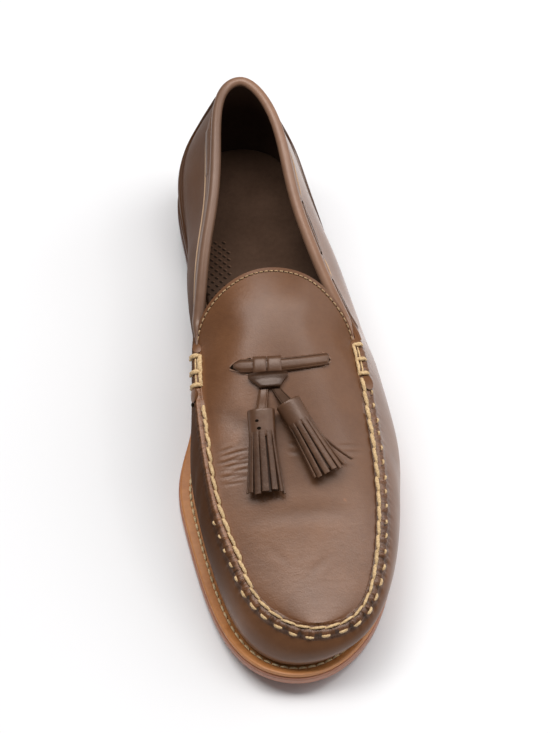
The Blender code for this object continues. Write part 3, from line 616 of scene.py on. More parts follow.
class Surface:
    """A Principled material and the textures that drive it, in the shoe's own coordinates."""

    def __init__(self, name, **values):
        self.material = bpy.data.materials.new(name)
        self.material.use_nodes = True
        self.tree = self.material.node_tree
        self.shader = self.tree.nodes["Principled BSDF"]
        self.coordinates = self.tree.nodes.new("ShaderNodeTexCoord").outputs["Object"]
        self.normal = None
        for socket, value in values.items():
            self.shader.inputs[socket.replace("_", " ")].default_value = value

    def fill(self, socket, value):
        """Links a socket to another one, or sets its value."""
        if isinstance(value, bpy.types.NodeSocket):
            self.tree.links.new(value, socket)
        else:
            socket.default_value = value

    def node(self, kind, settings=None, **inputs):
        made = self.tree.nodes.new(kind)
        for key, value in (settings or {}).items():
            setattr(made, key, value)
        for key, value in inputs.items():
            self.fill(made.inputs[key.replace("_", " ")], value)
        return made

    def stretched(self, scale):
        return self.node("ShaderNodeMapping", Vector=self.coordinates, Scale=scale).outputs["Vector"]

    def noise(self, scale, detail=3.0, roughness=0.55, vector=None):
        made = self.node("ShaderNodeTexNoise", Vector=vector or self.coordinates, Scale=scale)
        made.inputs["Detail"].default_value = detail
        made.inputs["Roughness"].default_value = roughness
        return made.outputs["Fac"]

    def cells(self, scale):
        return self.node("ShaderNodeTexVoronoi", Vector=self.coordinates, Scale=scale).outputs["Distance"]

    def ramp(self, value, *stops):
        made = self.node("ShaderNodeValToRGB", Fac=value)
        ramp = made.color_ramp
        while len(ramp.elements) < len(stops):
            ramp.elements.new(0.5)
        for element, (position, colour) in zip(ramp.elements, stops):
            element.position = position
            element.color = (*colour, 1.0)
        return made.outputs["Color"]

    def between(self, value, low, high, first=0.0, last=1.0):
        made = self.node("ShaderNodeMapRange", Value=value)
        for key, number in zip(("From Min", "From Max", "To Min", "To Max"), (low, high, first, last)):
            made.inputs[key].default_value = number
        return made.outputs["Result"]

    def mix(self, share, first, second, blend="MIX"):
        made = self.node("ShaderNodeMix", {"data_type": "RGBA", "blend_type": blend})
        for socket, value in zip((made.inputs[0], made.inputs[6], made.inputs[7]), (share, first, second)):
            self.fill(socket, (*value, 1.0) if isinstance(value, tuple) else value)
        return made.outputs[2]

    def math(self, operation, first, second):
        made = self.node("ShaderNodeMath", {"operation": operation})
        for socket, value in zip(made.inputs, (first, second)):
            self.fill(socket, value)
        return made.outputs[0]

    def attribute(self, name, output="Fac"):
        return self.node("ShaderNodeAttribute", {"attribute_name": name}).outputs[output]

    def drive(self, socket, value):
        self.tree.links.new(value, self.shader.inputs[socket])

    def bump(self, height, strength, distance):
        made = self.node("ShaderNodeBump", Height=height, Strength=strength, Distance=distance)
        if self.normal is not None:
            self.tree.links.new(self.normal, made.inputs["Normal"])
        self.normal = made.outputs["Normal"]

    def finish(self, colour, roughness=None):
        self.drive("Base Color", colour)
        if roughness is not None:
            self.drive("Roughness", roughness)
        if self.normal is not None:
            self.drive("Normal", self.normal)
        return self.material


def scaled(colour, factor):
    return tuple(min(1.0, channel * factor) for channel in colour)


SHEEN = (1.0, 0.86, 0.79, 1.0)  # waxed leather gives its highlights a warm tint
BROWN = ((0.116, 0.048, 0.018), (0.168, 0.074, 0.030))  # the upper's leather, dark and light
SEAT_START = 0.045  # the sole's edge is black from this y on, round the heel's seat
SEAT_FADE = 0.020


def grain_leather(name, dark, light, roughness, coat, grain=0.22, shine=0.42, matt_and_shaded=False, gathers=False):
    """Smooth brown leather: mottled colour, fine pores, hair-thin wrinkles, uneven gloss, painted shade and
    highlight.
    """
    made = Surface(name, Coat_Weight=coat, Coat_Roughness=0.28, Specular_IOR_Level=shine)
    for socket in ("Specular Tint", "Coat Tint"):
        made.shader.inputs[socket].default_value = SHEEN
    mottle = made.noise(34.0, 4.0, 0.6)
    speck = made.noise(420.0, 2.0)
    share = made.math("ADD", made.math("MULTIPLY", mottle, 0.75), made.math("MULTIPLY", speck, 0.25))
    middle = tuple((a + b) / 2 for a, b in zip(dark, light))
    colour = made.ramp(share, (0.34, dark), (0.5, middle), (0.66, light))
    # tone below 0 darkens and above 0 lightens the colour: painted shade and painted highlight where the
    # pieces set it so
    tone = made.attribute("tone")
    colour = made.mix(made.between(tone, 0.0, -1.0), colour, scaled(dark, 0.28))
    colour = made.mix(made.between(tone, 0.0, 1.0), colour, scaled(light, 1.7))
    gloss = made.between(made.noise(60.0, 3.0), 0.3, 0.7, roughness - 0.05, roughness + 0.07)
    if matt_and_shaded:
        matt_and_shade = made.attribute("matt_and_shade")
        # painted shade: where matt_and_shade is above 0 the colour goes to a darker brown, with less specular
        # and coat
        colour = made.mix(matt_and_shade, colour, (middle[0] * 0.50, middle[1] * 0.46, middle[2] * 0.46))
        made.drive("Specular IOR Level", made.between(matt_and_shade, 0.0, 1.0, shine, 0.0))
        made.drive("Coat Weight", made.between(matt_and_shade, 0.0, 1.0, coat, 0.0))
        gloss = made.math("ADD", gloss, made.math("MULTIPLY", matt_and_shade, 0.4))
    made.bump(made.cells(1500.0), grain * 0.55, 0.00016)
    made.bump(made.noise(900.0, 4.0, 0.65), grain, 0.00016)
    made.bump(made.noise(150.0, 3.0, 0.6, made.stretched((1.0, 2.2, 1.0))), grain * 0.5, 0.0006)
    if gathers:
        seam = made.attribute("seam", "Vector")
        across = made.node("ShaderNodeMapping", Vector=seam, Scale=(900, 170, 0)).outputs["Vector"]
        folds = made.noise(1.0, 3.0, 0.6, across)
        share = made.node("ShaderNodeSeparateXYZ", Vector=seam).outputs["Z"]
        made.bump(made.math("MULTIPLY", folds, share), 1.0, 0.0012)
        # painted shade in the hollows of the gathers
        fold_shade = made.math("MULTIPLY", made.between(folds, 0.46, 0.30), share)
        colour = made.mix(made.math("MULTIPLY", fold_shade, 0.75), colour, scaled(dark, 0.25))
    return made.finish(colour, gloss)


def thread_material(name, dark, light):
    made = Surface(name, Specular_IOR_Level=0.25, Sheen_Weight=0.15)
    share = made.noise(1400.0, 2.0)
    wear_and_highlight = made.noise(90.0, 2.0)
    colour = made.ramp(share, (0.3, dark), (0.7, light))
    colour = made.mix(made.between(wear_and_highlight, 0.55, 0.75, 0.0, 0.45), colour, scaled(dark, 0.55))
    made.bump(made.noise(2600.0, 2.0, 0.5, made.stretched((1.0, 0.35, 1.0))), 0.5, 0.0003)
    return made.finish(colour, made.between(share, 0.2, 0.8, 0.55, 0.75))


def sole_leather(name, dark, light, roughness, layers=0.0, black_seat=False):
    """Burnished sole leather: fibres along the edge, darker stains, and black round the heel's seat."""
    made = Surface(name, Coat_Weight=0.2, Coat_Roughness=0.3, Specular_IOR_Level=0.4)
    fibre = made.noise(300.0, 4.0, 0.65, made.stretched((1.0, 1.0, 7.0)))
    stain = made.noise(26.0, 4.0, 0.6)
    share = made.math("ADD", made.math("MULTIPLY", fibre, 0.4), made.math("MULTIPLY", stain, 0.6))
    colour = made.ramp(share, (0.34, dark), (0.64, light))
    if layers:
        bands = made.noise(260.0, 1.0, 0.5, made.stretched((0.02, 0.02, 4.0)))
        colour = made.mix(made.between(bands, 0.52, 0.62, 0.0, layers), colour, scaled(dark, 0.4))
    if black_seat:
        along = made.node("ShaderNodeSeparateXYZ", Vector=made.coordinates).outputs["Y"]
        share = made.between(along, SEAT_START, SEAT_START + SEAT_FADE)
        colour = made.mix(share, colour, scaled(dark, 0.22))
    made.bump(fibre, 0.25, 0.0003)
    made.bump(made.noise(1300.0, 2.0), 0.15, 0.0002)
    return made.finish(colour, made.between(stain, 0.3, 0.7, roughness - 0.06, roughness + 0.1))


UPPER_LEATHER = grain_leather("loafer_upper", *BROWN, 0.35, 0.38, 0.32, matt_and_shaded=True, gathers=True)
PANEL_LEATHER = grain_leather("loafer_panel", *BROWN, 0.36, 0.24, matt_and_shaded=True)
COLLAR_LEATHER = grain_leather("loafer_collar", (0.176, 0.096, 0.059), (0.245, 0.139, 0.089), 0.38, 0.2, 0.12)
CUT_LEATHER = grain_leather("loafer_cut_edge", (0.420, 0.270, 0.160), (0.560, 0.380, 0.240), 0.60, 0.0)
LACE_LEATHER = grain_leather("loafer_lace", (0.076, 0.035, 0.017), (0.118, 0.057, 0.030), 0.36, 0.12)
STRIP_LEATHER = grain_leather("loafer_fringe", (0.056, 0.025, 0.012), (0.140, 0.072, 0.041), 0.42, 0.06, 0.5)
# painted shade: dark leather for the tassels' inner strips between the outer ones, and for the seam's stitch
# holes
CORE_SHADE_LEATHER = grain_leather("loafer_core_shade", (0.034, 0.018, 0.011), (0.058, 0.033, 0.022), 0.62, 0.0)
LINING_LEATHER = grain_leather("loafer_lining", (0.044, 0.024, 0.015), (0.074, 0.042, 0.028), 0.62, 0.0)
SOCK_LEATHER = grain_leather("loafer_sock", (0.056, 0.029, 0.017), (0.088, 0.048, 0.030), 0.6, 0.0, 0.3, 0.15)
# painted shade of small holes: flat dark spots on the sock and by the tongue's stitches
PINHOLE_SHADE = grain_leather("loafer_pinhole_shade", (0.020, 0.012, 0.008), (0.030, 0.019, 0.013), 0.7, 0.0, shine=0.0)
# painted shade of holes, slots, slits and gaps: near-black leather for flat dark spots and sheets
HOLE_SHADE = grain_leather("loafer_hole_shade", (0.008, 0.005, 0.003), (0.014, 0.009, 0.006), 0.8, 0.0, shine=0.0)
SEAM_THREAD = thread_material("loafer_thread", (0.43, 0.275, 0.130), (0.74, 0.53, 0.29))
# a lighter copy of the seam's thread as painted light: the welt's stitches sit in the wall's shade
WELT_THREAD = thread_material("loafer_welt_thread", (0.55, 0.380, 0.190), (0.90, 0.70, 0.42))
FINE_THREAD = thread_material("loafer_fine_thread", (0.27, 0.160, 0.080), (0.48, 0.32, 0.17))
WELT_LEATHER = sole_leather("loafer_welt", (0.42, 0.152, 0.042), (0.61, 0.262, 0.084), 0.45, black_seat=True)
EDGE_LEATHER = sole_leather(
    "loafer_sole_edge", (0.330, 0.130, 0.074), (0.490, 0.222, 0.136), 0.40, black_seat=True
)
HEEL_LEATHER = sole_leather("loafer_heel", (0.120, 0.050, 0.027), (0.205, 0.090, 0.050), 0.42, layers=0.7)
RUBBER = sole_leather("loafer_top_piece", (0.020, 0.014, 0.011), (0.036, 0.026, 0.020), 0.62)


# Upper


WALL_ROWS = 24
RIDGE_ROWS = 6
PLUG_COLUMNS = 60
TONGUE_ROWS = 42
SEAM_SPACING = 0.00064
COLLAR_SPACING = 0.0016
SEAM_PITCH = 0.0070  # between the outer stitches of the seam
RIDGE_TONE = 0.24  # how much darker the seam's ridge is round the toe
GROOVE_ROW = 2  # row of the ridge's inner side where the plug's edge shows as a fine groove
GROOVE_DEPTH = 0.0003
PUCKER_TOE = 0.00070
PUCKER_SIDE = 0.00026

# Creases of the plug: from (x, station) to (x, station), depth, half width
PLUG_CREASES = (
    (-0.0330, 0.2058, -0.0262, 0.2046, 0.00012, 0.0006),
    (-0.0315, 0.2079, -0.0196, 0.2067, 0.00018, 0.0006),
    (-0.0290, 0.2095, -0.0205, 0.2088, 0.00012, 0.0006),
    (-0.0332, 0.2109, -0.0240, 0.2101, 0.00022, 0.0006),
    (-0.0262, 0.2113, -0.0188, 0.2103, 0.00020, 0.0006),
    (-0.0312, 0.2129, -0.0190, 0.2122, 0.00024, 0.0007),
    (-0.0332, 0.2144, -0.0225, 0.2140, 0.00016, 0.0006),
    (-0.0285, 0.2157, -0.0192, 0.2148, 0.00022, 0.0006),
    (-0.0322, 0.2172, -0.0216, 0.2168, 0.00018, 0.0007),
    (-0.0290, 0.2190, -0.0200, 0.2180, 0.00014, 0.0006),
    (-0.0310, 0.2206, -0.0228, 0.2204, 0.00010, 0.0006),
    (0.0000, 0.2054, 0.0052, 0.2060, 0.00014, 0.0008),
    (-0.0006, 0.2092, 0.0044, 0.2100, 0.00010, 0.0008),
    (0.0225, 0.2062, 0.0330, 0.2048, 0.00009, 0.0008),
    (0.0240, 0.2090, 0.0338, 0.2078, 0.00008, 0.0008),
    (-0.0200, 0.2370, 0.0260, 0.2358, 0.00010, 0.0034),
    (-0.0300, 0.1880, -0.0180, 0.1990, 0.00012, 0.0040),
    (0.0150, 0.2560, 0.0060, 0.2640, 0.00005, 0.0018),
    (-0.0120, 0.2500, -0.0030, 0.2590, 0.00004, 0.0018),
)
# Pale marks on the plug: x, station, radius, strength
PLUG_MARKS = (
    (0.0236, 0.2304, 0.0006, 0.9),
    (-0.0238, 0.1990, 0.0022, 0.30),
    (-0.0222, 0.1962, 0.0016, 0.22),
    (-0.0254, 0.2020, 0.0015, 0.18),
)
# Creases of the wall: from (v, rise) to (v, rise), depth, half width in metres
WALL_CREASES = (
    (0.385, 0.97, 0.350, 0.35, 0.00012, 0.0040),
    (-0.372, 0.96, -0.345, 0.35, 0.00045, 0.0030),
    (-0.340, 0.95, -0.322, 0.50, 0.00030, 0.0026),
    (0.640, 0.55, 0.560, 0.30, 0.00014, 0.0060),
    (-0.640, 0.55, -0.560, 0.30, 0.00014, 0.0060),
)


def distance_to(points, start, end):
    """Distance of points from a segment, and the share along it, in any number of columns."""
    start, end = np.asarray(start), np.asarray(end)
    run = end - start
    share = np.clip(((points - start) @ run) / (run @ run), 0, 1)
    return np.linalg.norm(points - start - share[..., None] * run, axis=-1), share


def trough(distance, share, depth, half_width):
    """A soft valley with a low bank on each side, fading out at its two ends."""
    fade = np.sin(np.pi * np.clip(share, 0.02, 0.98)) ** 0.5
    ratio = distance / half_width
    return depth * fade * (-np.exp(-(ratio**2)) + 0.35 * np.exp(-((ratio - 1.9) ** 2)))


def pucker(v):
    """Gathers of the seam: a notch between every two outer stitches, uneven folds between the notches."""
    run = seam_run(v)
    near_toe = smoothstep((0.095 - np.abs(run)) / 0.05)
    depth = PUCKER_SIDE + (PUCKER_TOE - PUCKER_SIDE) * near_toe
    share = run / SEAM_PITCH
    gap = (share - np.round(share)) * SEAM_PITCH
    folds = np.sin(run / 0.00050 + 0.4) + np.sin(run / 0.00037 + 1.9) + np.sin(run / 0.00069 + 3.3)
    inside = (np.abs(v) < JUNCTION_V - 0.004) * 1.0
    return inside * depth * (0.22 + 0.20 * folds - 0.85 * np.exp(-((gap / 0.0009) ** 2)))


def wavy(points, length, seed):
    """Slow unevenness of leather over a last, between -1 and 1."""
    random = np.random.default_rng(seed)
    total = np.zeros(len(points))
    for _ in range(7):
        direction = unit(random.normal(size=3)) * 2 * np.pi / (length * random.uniform(0.7, 1.6))
        total += np.sin(points @ direction + random.uniform(0, 2 * np.pi))
    return total / 7


def ridge_tone(v):
    return RIDGE_TONE * smoothstep((0.056 + 0.12 * v - np.abs(seam_run(v))) / 0.03)


def medial_ridge_highlight(v):
    """1 along the medial side of the seam, where the ridge has a painted highlight, and 0 round the toe."""
    return smoothstep((-seam_run(v) - 0.035) / 0.03) * (np.abs(v) < JUNCTION_V)


def ridge_rows(v, turns):
    """Outer half of the ridge: turn is 0 at its foot and 1 at its crest."""
    foot, crest = ridge_foot(v)[:, None], top_point(v)[:, None]
    share = ridge_share(v)[:, None]
    angle = turns[None, :, None] * np.pi / 2
    line = turns[None, :, None]
    run = line + share * (1 - np.cos(angle) - line)
    rise = line + share * (np.sin(angle) - line)
    step = crest - foot
    return np.concatenate([foot[..., :2] + step[..., :2] * run, foot[..., 2:] + step[..., 2:] * rise], -1)


def inner_ridge_rows(v, turns):
    """Inner half of the ridge: turn is 0 at its crest and 1 at the plug's edge."""
    edge = plug_point(*ridge_inner(v))[:, None]
    crest = top_point(v)[:, None]
    angle = turns[None, :, None] * np.pi / 2
    plan = crest[..., :2] + (edge - crest)[..., :2] * np.sin(angle)
    height = crest[..., 2:] + (edge - crest)[..., 2:] * (1 - np.cos(angle))
    return np.concatenate([plan, height], -1)


def wall_relief(v, rise, points):
    relief = 0.00022 * wavy(points, 0.07, 3) * np.sin(np.pi * rise)
    place_on_wall = np.stack([v, rise], -1)
    scale = np.array([0.29, 0.055])  # metres for a whole unit of v and of rise
    for v0, rise0, v1, rise1, depth, half_width in WALL_CREASES:
        distance, share = distance_to(place_on_wall * scale, (v0, rise0) * scale, (v1, rise1) * scale)
        relief += trough(distance, share, depth, half_width)
    fade = smoothstep((rise - 0.90) / 0.10)
    return relief + pucker(v) * fade * 0.8


def plug_creases(x, station):
    plan = np.stack([x, station], -1)
    relief = np.zeros(len(plan))
    for x0, s0, x1, s1, depth, half_width in PLUG_CREASES:
        distance, share = distance_to(plan, (x0, s0), (x1, s1))
        relief += trough(distance, share, depth, half_width)
    return relief


def plug_tone(x, station):
    # painted shade in the plug's creases and a little painted highlight on their banks, then the pale marks
    tone = np.clip(plug_creases(x, station) / 0.0005, -0.7, 0.15)
    for mark_x, mark_station, radius, strength in PLUG_MARKS:
        tone += strength * np.exp(-((np.hypot(x - mark_x, station - mark_station) / radius) ** 2))
    return tone


def plug_relief(x, station, points):
    return 0.00020 * wavy(points, 0.06, 8) + plug_creases(x, station)


# How matt parts of the wall are, and how far painted shade darkens their colour: 1 is matt and dark, below 0
# is glossier than the rest
MEDIAL_MATT_AND_SHADE = 0.92
LATERAL_DULL = -0.45
FRONT_MATT_AND_SHADE = 0.20


def plug_matt_and_shade(x, station):
    """How matt the plug is and how far painted shade darkens it: most on its lateral side, behind the toes.
    """
    return 0.28 * smoothstep((0.248 - station) / 0.03) * smoothstep((x + 0.024) / 0.024)


def wall_matt_and_shade(v):
    """How matt the wall is, with painted shade: most on the medial side, a little at the toe, least on the
    lateral quarter.
    """
    heel = 1 - 0.26 * smoothstep((-v - 0.52) / 0.10)
    medial = smoothstep((-v - 0.10) / 0.22) * smoothstep((0.99 + v) / 0.10) * heel * MEDIAL_MATT_AND_SHADE
    lateral = LATERAL_DULL * smoothstep((v - 0.42) / 0.10) * smoothstep((0.97 - v) / 0.10)
    front = FRONT_MATT_AND_SHADE * smoothstep((0.24 - np.abs(v)) / 0.12)
    return np.where(v < 0, np.maximum(medial, front), lateral + front)


def make_upper():
    # Wall and outer half of the ridge, round the whole shoe
    medial = np.concatenate([
        even_steps(top_point, -1.0, -JUNCTION_V, COLLAR_SPACING)[:-1],
        even_steps(top_point, -JUNCTION_V, 0.0, SEAM_SPACING),
    ])
    v = np.concatenate([medial, -medial[-2:0:-1]])
    toe, count = len(medial) - 1, len(v)
    start = int(np.argmin(np.abs(medial + JUNCTION_V)))
    rises = np.linspace(0, 1, WALL_ROWS + 1)
    turns = np.linspace(0, 1, RIDGE_ROWS + 1)[1:]
    wall = wall_point(v[:, None], rises[None, :])
    ridge = ridge_rows(v, turns)
    columns = np.concatenate([wall, ridge], 1)
    height = columns.shape[1]
    faces = grid_faces(count, height, close_rows=True).tolist()
    grid_v = np.repeat(v, height)
    grid_rise = np.tile(np.concatenate([rises, np.ones(RIDGE_ROWS)]), count)
    points = [columns.reshape(-1, 3)]
    over = np.tile(np.concatenate([np.zeros(WALL_ROWS + 1), np.cos(turns * np.pi / 2) ** 0.5]), count)
    on_wall = np.tile(np.arange(height) <= WALL_ROWS, count)
    gathers = pucker(grid_v) * (0.35 + 0.65 * over)
    relief = [np.where(on_wall, wall_relief(grid_v, grid_rise, points[0]), gathers)]
    on_seam = (np.abs(grid_v) < JUNCTION_V) * 1.0
    side_gathers = 0.25 + 0.75 * smoothstep((0.120 - np.abs(seam_run(grid_v))) / 0.05)
    near = on_seam * np.where(on_wall, side_gathers * smoothstep((grid_rise - 0.95) / 0.05), 1.0)
    across = np.where(on_wall, RIDGE_HALF + (1 - grid_rise) * 0.03, RIDGE_HALF * over)
    seam_places = [np.stack([seam_run(grid_v), across, near], -1)]
    crest_line = np.tile(np.where(np.arange(height) == height - 1, 0.9, 0.0), count)
    shade = ridge_tone(grid_v) * on_seam * ~on_wall
    # Tone: painted shade in the wall's hollows and creases and a little painted highlight on their rises, the
    # ridge darker round the toe, and a painted highlight along the crest on the medial side
    tone = [np.clip(relief[0] / 0.0008, -0.42, 0.1) - shade + crest_line * medial_ridge_highlight(grid_v)]
    total = count * height

    # Inner halves of the ridge, and the plug between them
    seam = medial[start:toe]
    inner_medial, inner_lateral = inner_ridge_rows(seam, turns), inner_ridge_rows(-seam, turns)
    low, high = np.stack(ridge_inner(seam), -1), np.stack(ridge_inner(-seam), -1)
    shares = np.linspace(0, 1, PLUG_COLUMNS + 1)[1:-1]
    plan = low[:, None] + shares[None, :, None] * (high - low)[:, None]
    middle = plug_point(plan[..., 0], plan[..., 1])
    rows = np.concatenate([inner_medial, middle, inner_lateral[:, ::-1]], 1)
    width = rows.shape[1]
    index = total + np.arange(len(seam) * width).reshape(len(seam), width)
    crest = np.arange(count) * height + height - 1
    index = np.hstack([crest[start:toe, None], index, crest[count - np.arange(start, toe)][:, None]])
    faces += index_faces(index).tolist()
    flat = rows.reshape(-1, 3)
    points.append(flat)
    total += len(seam) * width
    from_crest = np.minimum(np.arange(width), np.arange(width)[::-1])
    fade = np.tile(np.cos(np.clip((from_crest + 1) / RIDGE_ROWS, 0, 1) * np.pi / 2), len(seam))
    groove = np.tile((from_crest == GROOVE_ROW) * 1.0, len(seam))
    ease = np.tile(smoothstep((from_crest - RIDGE_ROWS) / 4.0), len(seam))
    x, station = flat[:, 0], LENGTH / 2 - flat[:, 1]
    gather = pucker(np.repeat(seam, width)) * 0.35 * fade - GROOVE_DEPTH * groove
    relief.append(gather + ease * plug_relief(x, station, flat))
    on_ridge = np.tile((from_crest < RIDGE_ROWS) * 1.0, len(seam))
    dark = ridge_tone(np.repeat(seam, width)) * (0.4 + 0.6 * fade)
    # Painted highlight on the ridge's medial half and along the plug's edge beside it; below, painted shade
    # in the plug's creases and in the groove
    wear_and_highlight = medial_ridge_highlight(np.repeat(seam, width)) * np.tile(np.arange(width) < width / 2, len(seam))
    bright = 0.38 * on_ridge + 0.16 * np.tile(from_crest == RIDGE_ROWS, len(seam))
    tone.append(ease * plug_tone(x, station) - on_ridge * dark - 0.30 * groove + wear_and_highlight * bright)
    half = np.where(np.arange(width) < width / 2, -1.0, 1.0)
    run = seam_run(np.outer(seam, -half).ravel())
    seam_places.append(np.stack([run, -RIDGE_HALF * (1 - fade), fade], -1))

    # The ridge's inner half at the tip of the toe
    tip = inner_ridge_rows(np.array([0.0]), turns)[0]
    tip_index = [crest[toe], *range(total, total + RIDGE_ROWS)]
    points.append(tip)
    relief.append(np.where(np.arange(RIDGE_ROWS) == GROOVE_ROW, -GROOVE_DEPTH, 0.0))
    tone.append(np.full(RIDGE_ROWS, -RIDGE_TONE))
    seam_places.append(np.zeros((RIDGE_ROWS, 3)))
    total += RIDGE_ROWS
    last = index[-1]
    for k in range(RIDGE_ROWS):
        faces.append((last[k], tip_index[k], tip_index[k + 1], last[k + 1]))
        faces.append((last[-2 - k], tip_index[k + 1], tip_index[k], last[-1 - k]))
    for k in range(RIDGE_ROWS, width + 1 - RIDGE_ROWS):
        faces.append((last[k], tip_index[-1], last[k + 1]))

    # Tongue, row by row up to its tip
    row = index[0, RIDGE_ROWS : width + 2 - RIDGE_ROWS]
    tongue_shares = np.linspace(0, 1, PLUG_COLUMNS + 1)
    for turn in np.linspace(1, 0, TONGUE_ROWS + 1)[1:-1]:
        (x0, station), (x1, _) = tongue_edge(-turn), tongue_edge(turn)
        x = x0 + tongue_shares * (x1 - x0)
        station = np.full_like(x, station)
        fresh = plug_point(x, station)
        after = np.arange(total, total + len(x))
        faces += [(after[k], row[k], row[k + 1], after[k + 1]) for k in range(len(x) - 1)]
        points.append(fresh)
        relief.append(plug_relief(x, station, fresh))
        tone.append(plug_tone(x, station))
        seam_places.append(np.zeros((len(x), 3)))
        total += len(x)
        row = after
    points.append(plug_point(*tongue_edge(0.0))[None])
    relief.append(np.zeros(1))
    tone.append(np.zeros(1))
    seam_places.append(np.zeros((1, 3)))
    faces += [(total, row[k], row[k + 1]) for k in range(len(row) - 1)]

    # The shell, with what its materials read at each point
    points, relief, tone = np.vstack(points), np.concatenate(relief), np.concatenate(tone)
    lining = np.zeros(len(points))
    lining[: count * height] = smoothstep((grid_rise - 0.55) / 0.35) * (np.abs(grid_v) > JUNCTION_V)
    looks = [UPPER_LEATHER, LINING_LEATHER]
    piece = make_shell("moccasin_upper", points, faces, relief, WALL, looks, tone, lining)
    # matt finish and painted shade on the wall and the plug
    matt_and_shade = np.zeros(2 * len(points))
    matt_and_shade[: count * height] = wall_matt_and_shade(grid_v) * np.where(on_wall, 1.0, over)
    x, station = points[count * height :, 0], LENGTH / 2 - points[count * height :, 1]
    matt_and_shade[count * height : len(points)] = plug_matt_and_shade(x, station)
    add_attribute(piece, "matt_and_shade", matt_and_shade)
    seam_places = np.vstack([*seam_places, np.zeros((len(points), 3))])
    attribute = piece.data.attributes.new("seam", "FLOAT_VECTOR", "POINT")
    attribute.data.foreach_set("vector", seam_places.astype(np.float32).ravel())
    return place(piece, "upper_leather", "upper")


def make_counter():
    """Panel round the back of the wall, high in its middle and low at its two ends."""
    rise_rows, medial, lateral = np.array(COUNTER_EDGE).T
    rises = np.linspace(rise_rows[0], rise_rows[-1], 56)
    around = np.linspace(-1, 1, 121)
    upper, lower, shade = [], [], []
    for rise in rises:
        edge = [float(TOP.phase(Spline(rise_rows, column)(rise))) for column in (medial, lateral)]
        v = np.where(around < 0, -1 - around * edge[0], 1 - around * edge[1])
        point, normal = wall_point(v, np.full_like(v, rise)), wall_normal(v, np.full_like(v, rise))
        border = np.minimum(1 - np.abs(around), 1.0) * 60
        round_edge = np.sqrt(np.clip(1 - (1 - np.clip(border / 2.0, 0, 1)) ** 2, 0.05, 1))
        if rise in (rises[0], rises[-1]):
            round_edge = round_edge * 0.5
        upper.append(point + normal * (COUNTER_THICKNESS * round_edge)[:, None])
        lower.append(point + normal * 0.00002)
        shade.append(wall_matt_and_shade(v))
    piece = make_slab("heel_counter_panel", np.array(upper), np.array(lower), [PANEL_LEATHER])
    # matt finish and painted shade on the medial side, as on the wall
    add_attribute(piece, "matt_and_shade", np.tile(np.concatenate(shade), 2))
    # painted shadow along the panel's front edges, where it stands off the wall
    edge_shade = -0.85 * (np.abs(around) > 1 - COUNTER_EDGE_SHADE_WIDTH)
    add_attribute(piece, "tone", np.tile(edge_shade, 2 * len(rises)))
    return place(piece, "upper_leather", "heel_counter")


# Collar


COLLAR_SIDES = 28
COLLAR_END = JUNCTION - 0.001
COLLAR_FOLD = math.radians(318)  # angle round the roll of the fold that its stitches lie in


def collar_radius(station):
    share = smoothstep((JUNCTION - station) / COLLAR_TAPER)
    slim = 1 - 0.12 * smoothstep((0.060 - station) / 0.045)
    return (COLLAR_END_RADIUS + (COLLAR_RADIUS - COLLAR_END_RADIUS) * share) * slim


def collar_path(v):
    """Centre of the roll, its radius, and level-outward and upward vectors across it."""
    lean = np.radians(TOP.sided("lean", v))[:, None]
    out = TOP.outward(v)
    inward = np.concatenate([-out * np.cos(lean), -np.sin(lean)], -1)
    up = top_direction(v)
    radius = collar_radius(TOP.station(v))
    centre = top_point(v) + inward * WALL / 2 + up * (radius + GAP)[:, None]
    return centre, radius, -inward, up


def make_collar():
    v = round_heel(top_point, float(station_v(1, COLLAR_END)), COLLAR_SPACING)
    centre, radius, out, up = collar_path(v)
    angle = np.linspace(0, 2 * np.pi, COLLAR_SIDES, endpoint=False)
    fold = 1 - 0.16 * np.exp(-(((angle - COLLAR_FOLD) / 0.20) ** 2))
    uneven = 1 + 0.035 * wavy(centre, 0.03, 12)[:, None] + 0.02 * np.sin(3 * angle)[None]
    reach = radius[:, None] * fold[None] * uneven
    points = (
        centre[:, None]
        + out[:, None] * (reach * np.cos(angle))[..., None]
        + up[:, None] * (reach * np.sin(angle))[..., None]
    )
    faces = [face[::-1] for face in tube_faces(len(v), COLLAR_SIDES)]
    piece = add_mesh("collar_roll", points.reshape(-1, 3), faces, [COLLAR_LEATHER], sharp=60)
    # painted shade on the medial side of the roll and a little painted light on the lateral side, fading out
    # round the back
    tone = np.where(v < 0, -0.44, 0.08) * smoothstep((1 - np.abs(v)) / 0.15)
    add_attribute(piece, "tone", np.repeat(tone, COLLAR_SIDES))
    return place(piece, "collar_leather", "collar_binding")


# Band under the roll, with windows where the lace shows: heights are below the wall's top edge, ends and
# windows are stations by side
BAND_TOP = 0.0007
BAND_DEPTH = 0.0074
WINDOW_TOP = 0.0030
BAND_THICKNESS = 0.0007
BAND_ENDS = {-1: (0.022, 0.136), 1: (0.028, 0.151)}
WINDOWS = {-1: (), 1: ((0.066, 0.098), (0.110, 0.142))}


